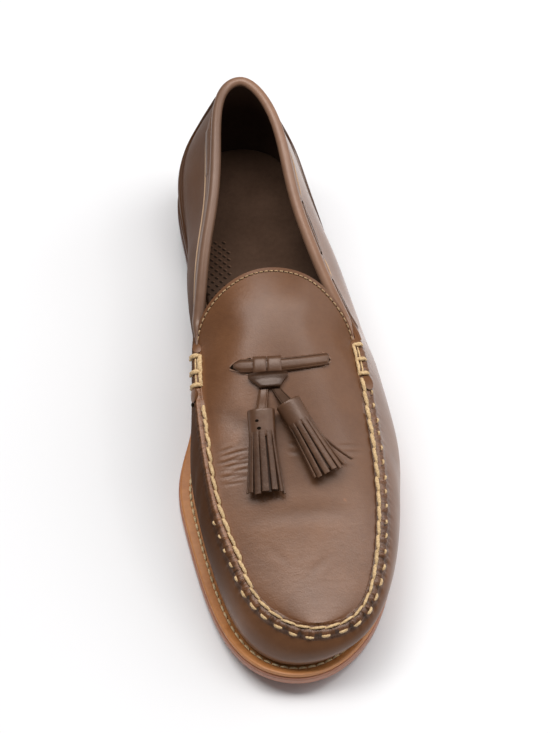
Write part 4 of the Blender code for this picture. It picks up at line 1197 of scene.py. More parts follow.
def make_collar_band():
    """The quarter's folded band: a thin strip on the wall, its cut lower edge pale between the windows."""
    bodies, edges, slits = [], [], []
    for side, (first, last) in BAND_ENDS.items():
        station = np.linspace(first, last, 160)
        depth = np.full_like(station, BAND_DEPTH)
        for begin, end in WINDOWS[side]:
            inside = smoothstep((station - begin) / 0.0015) * smoothstep((end - station) / 0.0015)
            depth = depth + (WINDOW_TOP - BAND_DEPTH) * inside
        ends = np.minimum(station - first, last - station)
        depth = BAND_TOP + (depth - BAND_TOP) * smoothstep(ends / 0.012 + 0.02)
        v = station_v(side, station)
        share = np.array([0.0, 0.05, 0.14, 0.4, 0.7, 0.9, 0.97, 1.0])[None]
        lift = np.array([0.25, 0.8, 1.0, 1.05, 1.05, 1.0, 0.85, 0.35])[None]
        drop = BAND_TOP + share * (depth - BAND_TOP)[:, None]
        point, normal = wall_drop(v[:, None], drop)
        upper = point + normal * (BAND_THICKNESS * lift)[..., None]
        lower = point - normal * 0.0002
        bodies.append((upper, lower) if side < 0 else (upper[::-1], lower[::-1]))
        bounds = [first + 0.012, *(end for window in WINDOWS[side] for end in window), last - 0.008]
        for begin, end in zip(bounds[::2], bounds[1::2]):
            if end - begin > 0.004:
                edges.append(station_v(side, np.linspace(begin + 0.0008, end - 0.0008, 40)))
        for begin, end in WINDOWS[side]:
            slits.append(station_v(side, np.linspace(begin + 0.001, end - 0.001, 40)))
    band = place(join_slabs("collar_band", bodies, [PANEL_LEATHER], 50), "upper_leather")
    add_attribute(band, "matt_and_shade", np.repeat([0.35, 0.0], len(band.data.vertices) // 2))
    for name, lines, drop, height, half_width, material in (
        ("collar_band_edge", edges, BAND_DEPTH - 0.0001, 0.00055, 0.00060, CUT_LEATHER),
        # painted shadow along each window, under the edge above the lace
        ("collar_band_slits", slits, BAND_DEPTH - 0.0008, 0.00060, 0.00100, HOLE_SHADE),
    ):
        point, normal = wall_drop(np.array(lines), drop)
        taper = np.sin(np.linspace(0.01, 0.99, 40) * np.pi) ** 0.5
        piece = make_threads(name, point + normal * height, normal, half_width * taper[None], material, 0)
        place(piece, "upper_leather")


# Sole


OUTSOLE_SPACING = 0.0022
INSOLE_SPACING = 0.0030
WELT_SPACING = 0.0018


def sole_loop(spacing):
    v = even_steps(sole_edge, -1.0, 0.0, spacing)
    return np.concatenate([v, -v[-2:0:-1]])


def make_plate(name, profile, material, spacing, across):
    """A sole layer: profile has inset and height of each ring, from the underside round to the top."""
    v = sole_loop(spacing)
    count, toe = len(v), len(v) // 2
    rings = np.array([sole_ring(v, inset, height_of, rise) for inset, height_of, rise in profile])
    points, total = [rings.reshape(-1, 3)], len(profile) * count
    faces = grid_faces(len(profile), count, close_columns=True)[:, ::-1].tolist()
    shares = np.linspace(0, 1, across + 1)[1:-1]
    for ring, turned in ((0, True), (len(profile) - 1, False)):
        _, height_of, rise = profile[ring]
        medial, lateral = ring * count + np.arange(1, toe), ring * count + count - np.arange(1, toe)
        ends = rings[ring][1:toe], rings[ring][count - np.arange(1, toe)]
        inner = ends[0][:, None] + shares[None, :, None] * (ends[1] - ends[0])[:, None]
        inner[..., 2] = height_of(LENGTH / 2 - inner[..., 1]) + rise
        index = total + np.arange(inner.shape[0] * inner.shape[1]).reshape(inner.shape[:2])
        points.append(inner.reshape(-1, 3))
        total += index.size
        index = np.hstack([medial[:, None], index, lateral[:, None]])
        cap = index_faces(index).tolist()
        heel, tip = ring * count, ring * count + toe
        cap += [(heel, index[0][k], index[0][k + 1]) for k in range(across)]
        cap += [(index[-1][k], tip, index[-1][k + 1]) for k in range(across)]
        faces += [face[::-1] for face in cap] if turned else cap
    return add_mesh(name, np.vstack(points), faces, [material], sharp=35)


def make_outsole():
    v = sole_loop(OUTSOLE_SPACING)
    level = np.ones_like(v)
    thick = OUTSOLE_THICKNESS
    sizes = (
        (0.90, 0.0),
        (0.30, 0.20 * MM),
        (0.0, 0.75 * MM),
        (0.0, thick - 1.35 * MM),
        (0.16, thick - 1.2 * MM),
        (0.16, thick - 1.05 * MM),
        (0.0, thick - 0.9 * MM),
        (0.05, thick - 0.3 * MM),
        (0.45, thick),
    )
    profile = [(level * inset * MM, sole_bottom, rise) for inset, rise in sizes]
    piece = make_plate("leather_outsole", profile, EDGE_LEATHER, OUTSOLE_SPACING, 14)
    return place(piece, "sole_edge", "outsole")


def make_insole():
    v = sole_loop(INSOLE_SPACING)
    inset = LOWER.sided("inset", v) + WALL + 2 * GAP
    sizes = ((0.0005, seat, 0.0), (0.0, seat, 0.0005), (0.0, seat, INSOLE_THICKNESS - 0.0006))
    profile = [(inset + extra, height_of, rise) for extra, height_of, rise in sizes]
    profile.append((inset + 0.0007, seat, INSOLE_THICKNESS))
    piece = make_plate("sock_lining", profile, SOCK_LEATHER, INSOLE_SPACING, 12)
    return place(piece, "sock_leather", "insole")


def welt_stitch_inset(v):
    return LOWER.sided("inset", v) - 1.9 * MM


def make_welt():
    """Strip round the sole with a rounded edge and a channel for its stitches."""
    v = sole_loop(WELT_SPACING)
    channel = welt_stitch_inset(v)
    thick = WELT_THICKNESS
    profile = (
        (WELT_SETBACK + 0.1 * MM, 0.0),
        (WELT_SETBACK, 0.4 * MM),
        (WELT_SETBACK, thick - 0.75 * MM),
        (WELT_SETBACK + 0.22 * MM, thick - 0.28 * MM),
        (WELT_SETBACK + 0.70 * MM, thick - 0.04 * MM),
        (WELT_SETBACK + 1.10 * MM, thick),
        (channel - 0.60 * MM, thick),
        (channel - 0.30 * MM, thick - 0.32 * MM),
        (channel + 0.30 * MM, thick - 0.32 * MM),
        (channel + 0.60 * MM, thick),
        (WELT_REACH, thick),
        (WELT_REACH, 0.0),
    )
    rings = [sole_ring(v, np.broadcast_to(inset, v.shape), welt_bottom, rise) for inset, rise in profile]
    faces = grid_faces(len(profile), len(v), close_rows=True, close_columns=True)[:, ::-1]
    piece = add_mesh("welt_strip", np.vstack(rings), faces, [WELT_LEATHER], sharp=45)
    return place(piece, "sole_leather", "welt")


HEEL_LIFTS = 4
TOP_PIECE = 0.0055
HEEL_TAPER = 0.0016
HEEL_SETBACK = 0.0004


def make_heel():
    """Stacked heel: leather lifts with fine joints between them, on a dark top piece."""
    end = 1 - float(SOLE.phase(HEEL_BREAST))
    v = round_heel(sole_edge, end, OUTSOLE_SPACING)
    top = HEEL_HEIGHT - GAP
    joints = np.linspace(TOP_PIECE, top, HEEL_LIFTS + 1)
    levels = [(0.0, 0.5 * MM), (0.4 * MM, 0.0), (TOP_PIECE - 0.25 * MM, 0.0)]
    for joint in joints[:-1]:
        levels += [(joint - 0.1 * MM, 0.22 * MM), (joint + 0.1 * MM, 0.22 * MM), (joint + 0.3 * MM, 0.0)]
    levels += [(top - 0.3 * MM, 0.0), (top, 0.3 * MM)]
    levels.sort()
    rings = []
    for height, groove in levels:
        inset = HEEL_SETBACK + HEEL_TAPER * (1 - height / top) + groove
        ring = sole_ring(v, np.full_like(v, inset), sole_bottom, 0.0)
        ring[:, 2] = height
        breast = ring[-1] + np.linspace(0, 1, 13)[1:-1, None] * (ring[0] - ring[-1])
        breast[:, 1] += groove + 0.0012 * np.sin(np.linspace(0, np.pi, 13)[1:-1])
        rings.append(np.vstack([ring, breast]))
    rings = np.array(rings)
    count = rings.shape[1]
    faces = grid_faces(len(levels), count, close_columns=True).tolist()
    faces.append(range(count))
    faces.append(range(len(levels) * count - 1, (len(levels) - 1) * count - 1, -1))
    middle = np.repeat([height for height, _ in levels[:-1]], count)
    indices = [1 if height < TOP_PIECE - 0.2 * MM else 0 for height in middle] + [1, 0]
    piece = add_mesh("stacked_heel", rings.reshape(-1, 3), faces, [HEEL_LEATHER, RUBBER], indices, 35)
    return place(piece, "heel_stack", "heel")


# Laces and tassels


VAMP_LACE_MEDIAL = (-0.0238, 0.1692)
VAMP_LACE_LATERAL = (0.0188, 0.1670)
VAMP_LACE_BOW = 0.0032
VAMP_LACE_HALF = (0.0031, 0.0029)  # half its width at its medial and at its lateral end
KNOT_TURNS = ((-0.0152, -0.0094), (-0.0088, -0.0026))
KNOT_HEIGHT = 0.0034
# Bight of the knot: station, x of its medial and of its lateral edge
KNOT_BIGHT = (
    (0.1744, -0.0172, -0.0004),
    (0.1758, -0.0178, 0.0002),
    (0.1774, -0.0166, -0.0010),
    (0.1792, -0.0144, -0.0026),
    (0.1812, -0.0128, -0.0036),
)
# Turns of the knot, under and over: offset along the shoe and height over the plug, in millimetres
KNOT_UNDER = ((-3.1, 0.2), (-3.1, 0.7), (-3.0, 1.3), (-2.6, 1.9), (-1.6, 2.15), (0.0, 2.2), (1.7, 2.15),
              (2.7, 1.95), (3.1, 1.4), (3.2, 0.8), (3.2, 0.2))
KNOT_OVER = ((-4.1, 0.2), (-4.15, 1.0), (-3.9, 1.9), (-3.3, 2.75), (-2.0, 3.2), (0.0, 3.35), (2.0, 3.35),
             (3.4, 3.1), (4.5, 2.5), (5.2, 1.5), (5.6, 0.2))
LACE_END_WIDTH = 0.0050
LACE_END_RISE = 0.0034
LACE_END_STARTS = ((-0.0112, 0.1818), (-0.0052, 0.1819))
SIDE_LACE_DROP = 0.0048
SIDE_LACE_WIDTH = 0.0034
SIDE_LACES = (
    ("side_lace_lateral_front", 1, 0.112, 0.143),
    ("side_lace_lateral_mid", 1, 0.068, 0.097),
    ("side_lace_medial_rear", -1, 0.030, 0.056),
)
# Tassels: head and tip of the fringe as (x, station), length, half widths of head and of the fringe's end
TASSELS = {
    "medial": ((-0.0124, 0.1910), (-0.0118, 0.2290), 0.0376, 0.0058, 0.0081),
    "lateral": ((-0.0008, 0.1884), (0.0168, 0.2210), 0.0364, 0.0055, 0.0070),
}
TASSEL_HEAD = 0.0130
TASSEL_HALF_HEIGHT = 0.0046

# Across a lace: offset in half widths, share of its thickness. A line is scored along both edges
LACE_SECTION = (
    (-1.00, 0.30),
    (-0.95, 0.72),
    (-0.86, 0.95),
    (-0.76, 0.98),
    (-0.70, 0.80),
    (-0.63, 0.98),
    (-0.30, 1.03),
    (0.00, 1.04),
    (0.30, 1.03),
    (0.63, 0.98),
    (0.70, 0.80),
    (0.76, 0.98),
    (0.86, 0.95),
    (0.95, 0.72),
    (1.00, 0.30),
)


def dive(share, length):
    """1 along a lace, going down to below 0 over its two ends where it enters its slots."""
    end = np.minimum(share, 1 - share) / length
    return np.where(end < 1, 1.25 * np.sin(np.clip(end, 0, 1) * np.pi / 2) - 0.25, 1.0)


def lace_station(x):
    """Station of the lace's middle: it bows to the toe, where the tassels pull on it."""
    (first, low), (last, high) = VAMP_LACE_MEDIAL, VAMP_LACE_LATERAL
    share = np.clip((x - first) / (last - first), 0, 1)
    return low + (high - low) * share + VAMP_LACE_BOW * 4 * share * (1 - share)


def make_vamp_lace():
    share = np.linspace(-0.03, 1.03, 85)[:, None]
    offsets, tops = np.array(LACE_SECTION).T
    x = VAMP_LACE_MEDIAL[0] + share * (VAMP_LACE_LATERAL[0] - VAMP_LACE_MEDIAL[0])
    narrow = 1 - 0.72 * smoothstep((0.075 - share) / 0.10) - 0.22 * smoothstep((share - 0.96) / 0.07)
    half = (VAMP_LACE_HALF[0] + (VAMP_LACE_HALF[1] - VAMP_LACE_HALF[0]) * share) * narrow
    station = lace_station(x) + offsets[None] * half
    level = dive(np.clip((share + 0.028) / 1.056, 0, 1), 0.040)
    bow = 0.0003 * np.sin(np.pi * np.clip(share, 0, 1)) ** 2
    upper = lay(x, station, (LACE_THICKNESS * tops[None] + GAP + bow) * level)
    lower = lay(x, station, (GAP * 0.3 + bow) * level - 0.0006 * (level < 0.9))
    piece = make_slab("vamp_lace_bar", upper, lower, [LACE_LEATHER], 60)
    return place(piece, "lace_leather", "vamp_lace")


# Slots that the lace enters: x of its point, x of its wide end, half its width
LACE_SLOTS = ((-0.0262, -0.0164, 0.0037), (0.0203, 0.0165, 0.0032))


def make_lace_slots():
    """Painted shade in a slot round each end of the lace, pointed at its far end, with a low lip in lighter
    leather as a painted highlight.
    """
    lips, normals, darks = [], [], []
    share = np.linspace(0.03, 1, 33)
    for tip, root, half in LACE_SLOTS:
        x = tip + (root - tip) * np.sin(share * np.pi / 2) ** 1.6
        spread = half * np.sin(share * np.pi / 2) ** 0.9
        across = np.linspace(-1, 1, 9)
        station = lace_station(x)[:, None] + spread[:, None] * across[None]
        pair = lay(x[:, None], station, 0.00012), lay(x[:, None], station, -0.0006)
        darks.append(pair if root > tip else (pair[0][::-1], pair[1][::-1]))
        for side in (-1, 1):
            line = lace_station(x) + side * (spread + 0.0003)
            lips.append(lay(x, line, 0.00006))
            normals.append(plug_normal(x, line))
    place(join_slabs("lace_slots", darks, [HOLE_SHADE]), "lace_leather")
    widths = 0.00042 * np.sin(np.linspace(0.25, 0.96, 33) * np.pi) ** 0.5
    place(make_threads("lace_slot_lips", lips, normals, widths[None], COLLAR_LEATHER, 0), "upper_leather")


def make_side_laces():
    offsets, tops = np.array(LACE_SECTION).T
    for name, side, first, last in SIDE_LACES:
        share = np.linspace(0, 1, 41)[:, None]
        v = station_v(side, first + share * (last - first))
        point, normal = wall_drop(v, SIDE_LACE_DROP + offsets[None] * SIDE_LACE_WIDTH / 2)
        level = dive(share, 0.09)
        in_window, on_band = (GAP, 0.7 * LACE_THICKNESS), (BAND_THICKNESS, 0.25 * LACE_THICKNESS)
        under, thick = in_window if WINDOWS[side] else on_band
        upper = point + normal * ((thick * tops[None] + under) * level)[..., None]
        lower = point + normal * (GAP * 0.3 * level - 0.0005 * (level < 0.9))[..., None]
        if side > 0:
            upper, lower = upper[::-1], lower[::-1]
        piece = make_slab(name + "_strip", upper, lower, [LACE_LEATHER], 60)
        place(piece, "lace_leather", name)


def make_knot():
    """Cow hitch: two turns over the lace, and the bight that holds them across the front."""
    bodies = []
    for first, last in KNOT_TURNS:
        across = np.linspace(-1, 1, 15)
        x = (first + last) / 2 + across * (last - first) / 2
        crown = 1 - 0.16 * np.abs(across) ** 5
        grids = []
        for path, swell in ((KNOT_OVER, crown), (KNOT_UNDER, np.ones_like(crown))):
            offset, height = np.array(path).T * MM
            station = lace_station(x)[None] + offset[:, None]
            grids.append(lay(x, station, height[:, None] * swell[None]))
        bodies.append((grids[0][::-1], grids[1][::-1]))
    rows = np.linspace(0, 1, 17)
    table = np.array(KNOT_BIGHT)
    knots = np.linspace(0, 1, len(table))
    station, first, last = (Spline(knots, column)(rows)[:, None] for column in table.T)
    across = np.linspace(-1, 1, 25)[None]
    x = (first + last) / 2 + across * (last - first) / 2
    belly = 1 - 0.30 * np.abs(across) ** 3
    lip = 0.70 + 0.38 * np.exp(-((rows / 0.10) ** 2)) + 0.22 * smoothstep((rows - 0.45) / 0.55)
    lip = lip * np.where(rows > 0.9, 1 - 0.35 * ((rows - 0.9) / 0.1) ** 2, 1.0)
    height = GAP + KNOT_HEIGHT * 1.05 * belly * lip[:, None]
    bodies.append((lay(x, station, height)[:, ::-1], lay(x, station, GAP * 0.5)[:, ::-1]))
    piece = join_slabs("cow_hitch", bodies, [LACE_LEATHER], 50)
    # painted shade on the bight, all but its top edge
    tone = np.zeros(len(piece.data.vertices))
    tone[-2 * x.size :] = np.tile(-0.60 * smoothstep(rows / 0.3), (2, 1)).repeat(x.shape[1])
    add_attribute(piece, "tone", tone)
    return place(piece, "lace_leather", "lace_knot")


def tassel_axes(tassel):
    start, end = np.array(tassel[0]), np.array(tassel[1])
    axis = unit(end - start)
    return start, axis, np.array([axis[1], -axis[0]])


def tassel_point(tassel, down, sideways, height):
    """A point by its distance down the tassel, across it and over the plug."""
    start, axis, cross = tassel_axes(tassel)
    plan = start + np.asarray(down)[..., None] * axis + np.asarray(sideways)[..., None] * cross
    return lay(plan[..., 0], plan[..., 1], height)


def make_lace_ends():
    offsets, tops = np.array(LACE_SECTION).T
    for (side, tassel), begin in zip(TASSELS.items(), LACE_END_STARTS):
        start, axis, cross = tassel_axes(tassel)
        share = np.linspace(0, 1, 15)[:, None]
        stop = start + axis * 0.0012
        middle = np.array(begin)[None] + share * (stop - np.array(begin))
        turn = unit(np.array([1.0, 0.0]) * (1 - share) + cross * share)
        half = LACE_END_WIDTH / 2 * (0.92 + 0.16 * share)
        plan = middle[:, None] + turn[:, None] * (offsets[None] * half)[..., None]
        rise = GAP + LACE_END_RISE * smoothstep(share)
        curl = 0.0004 * np.sin(np.pi * share) * offsets[None] ** 2
        upper = lay(plan[..., 0], plan[..., 1], rise + curl + LACE_THICKNESS * tops[None])
        lower = lay(plan[..., 0], plan[..., 1], rise + curl)
        # painted shade: the lateral end takes the darker sock leather, for the shadow under the knot
        material = LACE_LEATHER if side == "medial" else SOCK_LEATHER
        piece = make_slab("lace_end_%s_strip" % side, upper[:, ::-1], lower[:, ::-1], [material], 60)
        place(piece, "lace_leather", "lace_end_" + side)


def tassel_section(tassel, down):
    _, _, length, half_width, flare = tassel
    share = np.clip((down - TASSEL_HEAD) / (length - TASSEL_HEAD), 0, 1)
    return half_width + (flare - half_width) * share, TASSEL_HALF_HEIGHT * (1 - 0.22 * share)


STRIP_SPREAD = 13.6  # half the angle that a strip takes up, in degrees
STRIP_THICKNESS = 0.0013
FRINGE_TOP = 0.0030  # the strips start this far inside the head
HEAD_SIDES = 64


def make_strip(tassel, angle, length, layer, drift, lift, spread=STRIP_SPREAD):
    """One strip of a fringe, cut from the head at an angle round it: it hangs down and drifts aside."""
    share = np.linspace(0, 1, 17)[:, None]
    down = TASSEL_HEAD - FRINGE_TOP + share * (length - TASSEL_HEAD + FRINGE_TOP)
    half_width, half_height = tassel_section(tassel, down)
    across = np.array([-1.0, -0.9, -0.7, -0.35, 0.0, 0.35, 0.7, 0.9, 1.0])[None]
    edge = np.array([0.35, 0.72, 0.92, 1.0, 1.02, 1.0, 0.92, 0.72, 0.35])[None]
    at = np.radians(angle) + across * np.radians(spread) * (1 - 0.10 * share)
    sideways = half_width * layer * np.cos(at) + drift * share**2
    middle = GAP + half_height * (1 + layer * np.sin(at)) + lift * share**2
    out = unit(np.stack([np.cos(at) / half_width, np.sin(at) / half_height], -1))
    thick = STRIP_THICKNESS * edge
    aside, over = thick / 2 * out[..., 0], thick / 2 * out[..., 1]
    upper = tassel_point(tassel, down, sideways + aside, middle + over)
    lower = tassel_point(tassel, down, sideways - aside, middle - over)
    return upper, lower


# Fringes: angles of the outer strips, how far each drifts sideways at its end
FRINGES = {
    "medial": ((-8, 22, 54, 86, 115, 145, 176), (0.0008, 0.0004, 0.0, 0.0, 0.0, -0.0002, -0.0006)),
    "lateral": ((-14, 16, 44, 73, 102, 134, 166), (0.0014, 0.0016, 0.0008, 0.0005, 0.0001, -0.0002, -0.0003)),
}
STRAY_STRIP = (20.0, 0.0070)  # angle and drift of the one strip that stands off the lateral fringe


def make_tassel(side, tassel):
    """A rolled leather head with its fringe of strips."""
    length = tassel[2]
    random = np.random.default_rng(31 if side == "medial" else 32)
    downs = np.array([0.0, 0.12, 0.35, 1.2, 3.0, 6.0, 9.0, 10.8, 11.6, 12.2, 12.5]) * MM
    scales = np.array([0.88, 0.97, 0.995, 1.0, 1.0, 0.995, 0.99, 0.985, 0.975, 0.95, 0.85])
    angle = np.linspace(0, 2 * np.pi, HEAD_SIDES, endpoint=False)
    half_width, half_height = tassel_section(tassel, downs[:, None])

    def mouth(down, wide, high):
        """A ring inside the head's open top."""
        sideways = half_width[0] * wide * np.cos(angle)
        return tassel_point(tassel, down, sideways, GAP + half_height[0] * (1 + high * np.sin(angle)))

    wrap = 1 + 0.035 * ((angle - np.radians(34)) % (2 * np.pi)) / (2 * np.pi)
    scale = scales[:, None] * wrap[None]
    sideways = half_width * scale * np.cos(angle)
    height = GAP + half_height * (1 + scale * np.sin(angle))
    outside = tassel_point(tassel, downs[:, None], sideways, height)
    points = np.concatenate([[mouth(0.0016, 0.66, 0.60), mouth(0.0001, 0.76, 0.70)], outside])
    rings = len(points)
    faces = tube_faces(rings, HEAD_SIDES)
    # painted shade inside the head's open top
    indices = [1] * HEAD_SIDES + [0] * ((rings - 2) * HEAD_SIDES) + [1, 0]
    looks = [LACE_LEATHER, HOLE_SHADE]
    head = add_mesh("tassel_%s_head" % side, points.reshape(-1, 3), faces, looks, indices, 50)
    place(head, "lace_leather", "tassel_" + side)

    bodies = []
    for turn, drift in zip(*FRINGES[side]):
        cut = length * random.uniform(0.95, 1.0)
        turn = turn + random.normal(0, 1.0)
        bodies.append(make_strip(tassel, turn, cut, 0.91, drift, random.uniform(0, 0.0005)))
    if side == "lateral":
        bodies.append(make_strip(tassel, STRAY_STRIP[0], length * 0.955, 0.80, STRAY_STRIP[1], 0.0004, 10.0))
    fringe = join_slabs("tassel_%s_fringe" % side, bodies, [STRIP_LEATHER], 40)
    place(fringe, "lace_leather", "tassel_" + side)
    bodies = []
    # inner strips in darker leather: painted shade between the outer strips
    for turn, drift in zip(*FRINGES[side]):
        cut = length * random.uniform(0.93, 0.97)
        bodies.append(make_strip(tassel, turn + 15, cut, 0.58, drift * 0.8, random.uniform(0, 0.0003), 17.0))
    core = join_slabs("tassel_%s_core" % side, bodies, [CORE_SHADE_LEATHER], 40)
    place(core, "lace_leather", "tassel_" + side)


# Holes in the medial tassel's head: distance down it, angle round it, half length, half width
HEAD_HOLES = ((0.0054, 105.0, 0.00095, 0.00062), (0.0088, 98.0, 0.00100, 0.00070))


def make_head_holes():
    tassel = TASSELS["medial"]
    down, turn, half_lengths, half_widths = np.array(HEAD_HOLES).T
    half_width, half_height = tassel_section(tassel, down)
    at = np.radians(turn)

    def on_head(scale, shift):
        sideways = half_width * scale * np.cos(at)
        return tassel_point(tassel, down + shift, sideways, GAP + half_height * (1 + scale * np.sin(at)))

    centres = on_head(1.012, 0.0)
    normals = unit(on_head(1.2, 0.0) - on_head(0.9, 0.0))
    runs = np.cross(unit(on_head(1.0, 0.001) - on_head(1.0, -0.001)), normals)
    sizes = half_lengths, half_widths
    # dark spots: painted shade of the holes
    piece = make_spots("tassel_medial_holes", centres, normals, runs, *sizes, HOLE_SHADE, 0.00015)
    return place(piece, "lace_leather")


# Stitches


def seam_threads(name, centres, lengths, offsets, half_widths, height, sink):
    """Stitches along the moccasin seam: centres are lengths from the toe, offsets are those of both ends."""
    share = np.linspace(-0.5, 0.5, STITCH_STEPS)
    run = centres[:, None] + lengths[:, None] * share[None]
    offset = offsets[0][:, None] + (offsets[1] - offsets[0])[:, None] * (share + 0.5)
    point, normal = seam_point(seam_v(run), offset)
    paths = point + normal * stitch_profile(height, sink)[None, :, None]
    piece = make_threads(name, paths, normal, half_widths[:, None] * stitch_width(1.0)[None], SEAM_THREAD)
    return place(piece, "upper_leather")


OUTER_REACH = (0.078, 0.130)  # how far from the toe the outer stitches show, medial and lateral


def make_seam_stitches():
    random = np.random.default_rng(17)
    reach = SEAM_RUN[-1], -SEAM_RUN[0]
    count = [int((end - 0.021) / SEAM_PITCH) for end in reach]
    middles = (np.arange(-count[1], count[0]) + 0.5) * SEAM_PITCH
    toe = smoothstep((0.062 - np.abs(middles)) / 0.030)
    vary = random.normal(0, 1, (8, len(middles)))
    shown = (middles > -OUTER_REACH[0]) & (middles < OUTER_REACH[1])
    lengths = (2.0 + 1.6 * toe) * MM * (1 + 0.07 * vary[0])
    side = np.where(middles < 0, 2.30, 1.85)
    offset = (side + (2.65 - side) * toe + 0.10 * vary[1]) * MM
    widths = (0.54 + 0.18 * toe) * MM * (1 + 0.06 * vary[2])
    centres = middles + 0.20 * MM * vary[3]
    ends = offset[shown], (offset + 0.12 * MM * vary[4])[shown]
    seam_threads("seam_outer_stitches", centres[shown], lengths[shown], ends,
                 widths[shown], 0.50 * MM, 0.5 * MM)
    inner = middles + 0.5 * SEAM_PITCH
    line = np.where(inner < 0, -3.3 + 1.2 * smoothstep((inner + 0.135) / 0.045), -1.35)
    line = line + (-0.75 - line) * smoothstep((0.058 - np.abs(inner)) / 0.03)
    ends = (line + 0.33 + 0.08 * vary[5]) * MM, (line - 0.33 + 0.08 * vary[6]) * MM
    thick = 0.93 - 0.27 * smoothstep((0.055 - np.abs(inner)) / 0.04)
    seam_threads("seam_inner_stitches", inner, np.full_like(inner, SEAM_PITCH * 1.10), ends,
                 thick * MM * (1 + 0.06 * vary[7]), 0.75 * MM, 0.30 * MM)
    holes = (centres + np.where(centres < 0, 0.5, -0.5) * (lengths + 1.3 * MM))[shown]
    across = offset[shown] - 0.6 * MM
    point, normal = seam_point(seam_v(holes), across)
    ahead, _ = seam_point(seam_v(holes + 0.001), across)
    size = (0.55 + 0.30 * toe[shown]) * MM * (1 + 0.22 * vary[6][shown])
    sizes = size, size * 0.85
    # dark spots: painted shade of the stitch holes
    piece = make_spots("seam_stitch_holes", point, normal, ahead - point, *sizes, CORE_SHADE_LEATHER, 0.0001)
    return place(piece, "upper_leather")


# Thread bars at the two ends of the seam: side, stations of the turns over the ridge
THREAD_BARS = ((-1, (0.1570, 0.1655, 0.1722)), (1, (0.1537, 0.1616, 0.1690)))


def make_bars():
    """Three turns of thread over the ridge on each side, joined by lengths that run along its inner foot."""
    paths, normals, widths = [], [], []
    for side, stations in THREAD_BARS:
        places = station_v(side, stations)
        for v in places:
            offset = np.linspace(2.3, -2.7 if side > 0 else -3.1, STITCH_STEPS) * MM
            point, normal = seam_point(np.full(STITCH_STEPS, v), offset)
            paths.append(point + normal * stitch_profile(0.85 * MM, 0.6 * MM)[:, None])
            normals.append(normal)
            widths.append(stitch_width((1.0 if side > 0 else 1.15) * MM))
        for first, last, half_width in zip(places, places[1:], (1.30, 0.95) if side < 0 else (0.80, 0.80)):
            for offset, half, height in ((-2.8 if side < 0 else -2.4, half_width, 0.85), (-0.4, 0.42, 0.30)):
                v = np.linspace(first, last, STITCH_STEPS)
                point, normal = seam_point(v, np.full(STITCH_STEPS, offset * MM))
                paths.append(point + normal * stitch_profile(height * MM, 0.3 * MM)[:, None])
                normals.append(normal)
                widths.append(stitch_width(half * MM))
    piece = make_threads("seam_end_bars", paths, normals, widths, SEAM_THREAD, twist=7.0, flatten=0.95)
    return place(piece, "upper_leather")


# Rounded ends of the wall's gathered edge, just below the bars: side, station
RIDGE_ENDS = ((-1, 0.1762), (1, 0.1736))


def make_ridge_ends():
    sides, stations = np.array(RIDGE_ENDS).T
    places, shadows = station_v(sides, stations), station_v(sides, stations + 0.0042)
    starts = station_v(sides, 0.1522)
    for name, v, offset, half_length, half_width, material, height in (
        ("seam_end_lobes", places, 0.9 * MM, 4.2 * MM, 2.4 * MM, PANEL_LEATHER, 0.0012),
        # gaps: a dark spot of painted shade beside each lobe
        ("seam_end_gaps", shadows, 2.0 * MM, 1.2 * MM, 0.7 * MM, HOLE_SHADE, 0.0004),
        ("seam_start_patches", starts, -1.3 * MM, 3.0 * MM, 2.4 * MM, PANEL_LEATHER, 0.0010),
    ):
        point, normal = seam_point(v, offset)
        ahead, _ = seam_point(v + 0.002, offset)
        sizes = half_length, half_width
        piece = make_spots(name, point, normal, ahead - point, *sizes, material, height)
        place(piece, "upper_leather")


TONGUE_STITCH_INSET = 0.0021
TONGUE_STITCH_PITCH = 0.0023


def make_tongue_stitches():
    def edge(turn):
        x, station = tongue_edge(turn)
        ahead, behind = np.stack(tongue_edge(turn + 1e-3), -1), np.stack(tongue_edge(turn - 1e-3), -1)
        run = unit(ahead - behind)
        inset = TONGUE_STITCH_INSET - 0.0008 * smoothstep((np.abs(turn) - 0.55) / 0.4)
        return np.stack([x, station], -1) + np.stack([-run[..., 1], run[..., 0]], -1) * inset[..., None]

    turns = even_steps(edge, -0.985, 0.985, TONGUE_STITCH_PITCH)
    first, last = edge(turns[:-1]), edge(turns[1:])
    share = np.linspace(0.10, 0.86, STITCH_STEPS)
    plan = first[:, None] + share[None, :, None] * (last - first)[:, None]
    x, station = plan[..., 0], plan[..., 1]
    paths = lay(x, station, stitch_profile(0.34 * MM, 0.25 * MM))
    widths = stitch_width(0.36 * MM)[None]
    piece = make_threads("tongue_stitches", paths, plug_normal(x, station), widths, FINE_THREAD)
    place(piece, "upper_leather")
    x, station = last.T
    centres, normals = lay(x, station, 0.0001), plug_normal(x, station)
    runs = np.concatenate([last - first, np.zeros((len(last), 1))], -1)
    runs[:, 1] *= -1
    # dark spots: painted shade of the stitch holes
    piece = make_spots("tongue_stitch_holes", centres, normals, runs, 0.00036, 0.00032, PINHOLE_SHADE)
    return place(piece, "upper_leather")


WELT_STITCH_PITCH = 0.0042


def make_welt_stitches():
    def line(v):
        return sole_ring(v, welt_stitch_inset(v), welt_bottom, WELT_THICKNESS)

    v = even_steps(line, -0.66, 0.66, WELT_STITCH_PITCH)
    share = np.linspace(0.06, 0.90, STITCH_STEPS)
    at = v[:-1, None] + share[None] * (v[1:] - v[:-1])[:, None]
    point = line(at.ravel()).reshape(*at.shape, 3)
    normal = np.zeros_like(point)
    normal[..., 2] = 1.0
    paths = point + normal * (stitch_profile(0.60 * MM, 0.35 * MM))[None, :, None]
    piece = make_threads("welt_stitches", paths, normal, stitch_width(0.55 * MM)[None], WELT_THREAD)
    return place(piece, "sole_leather")


COLLAR_STITCH_PITCH = 0.0026


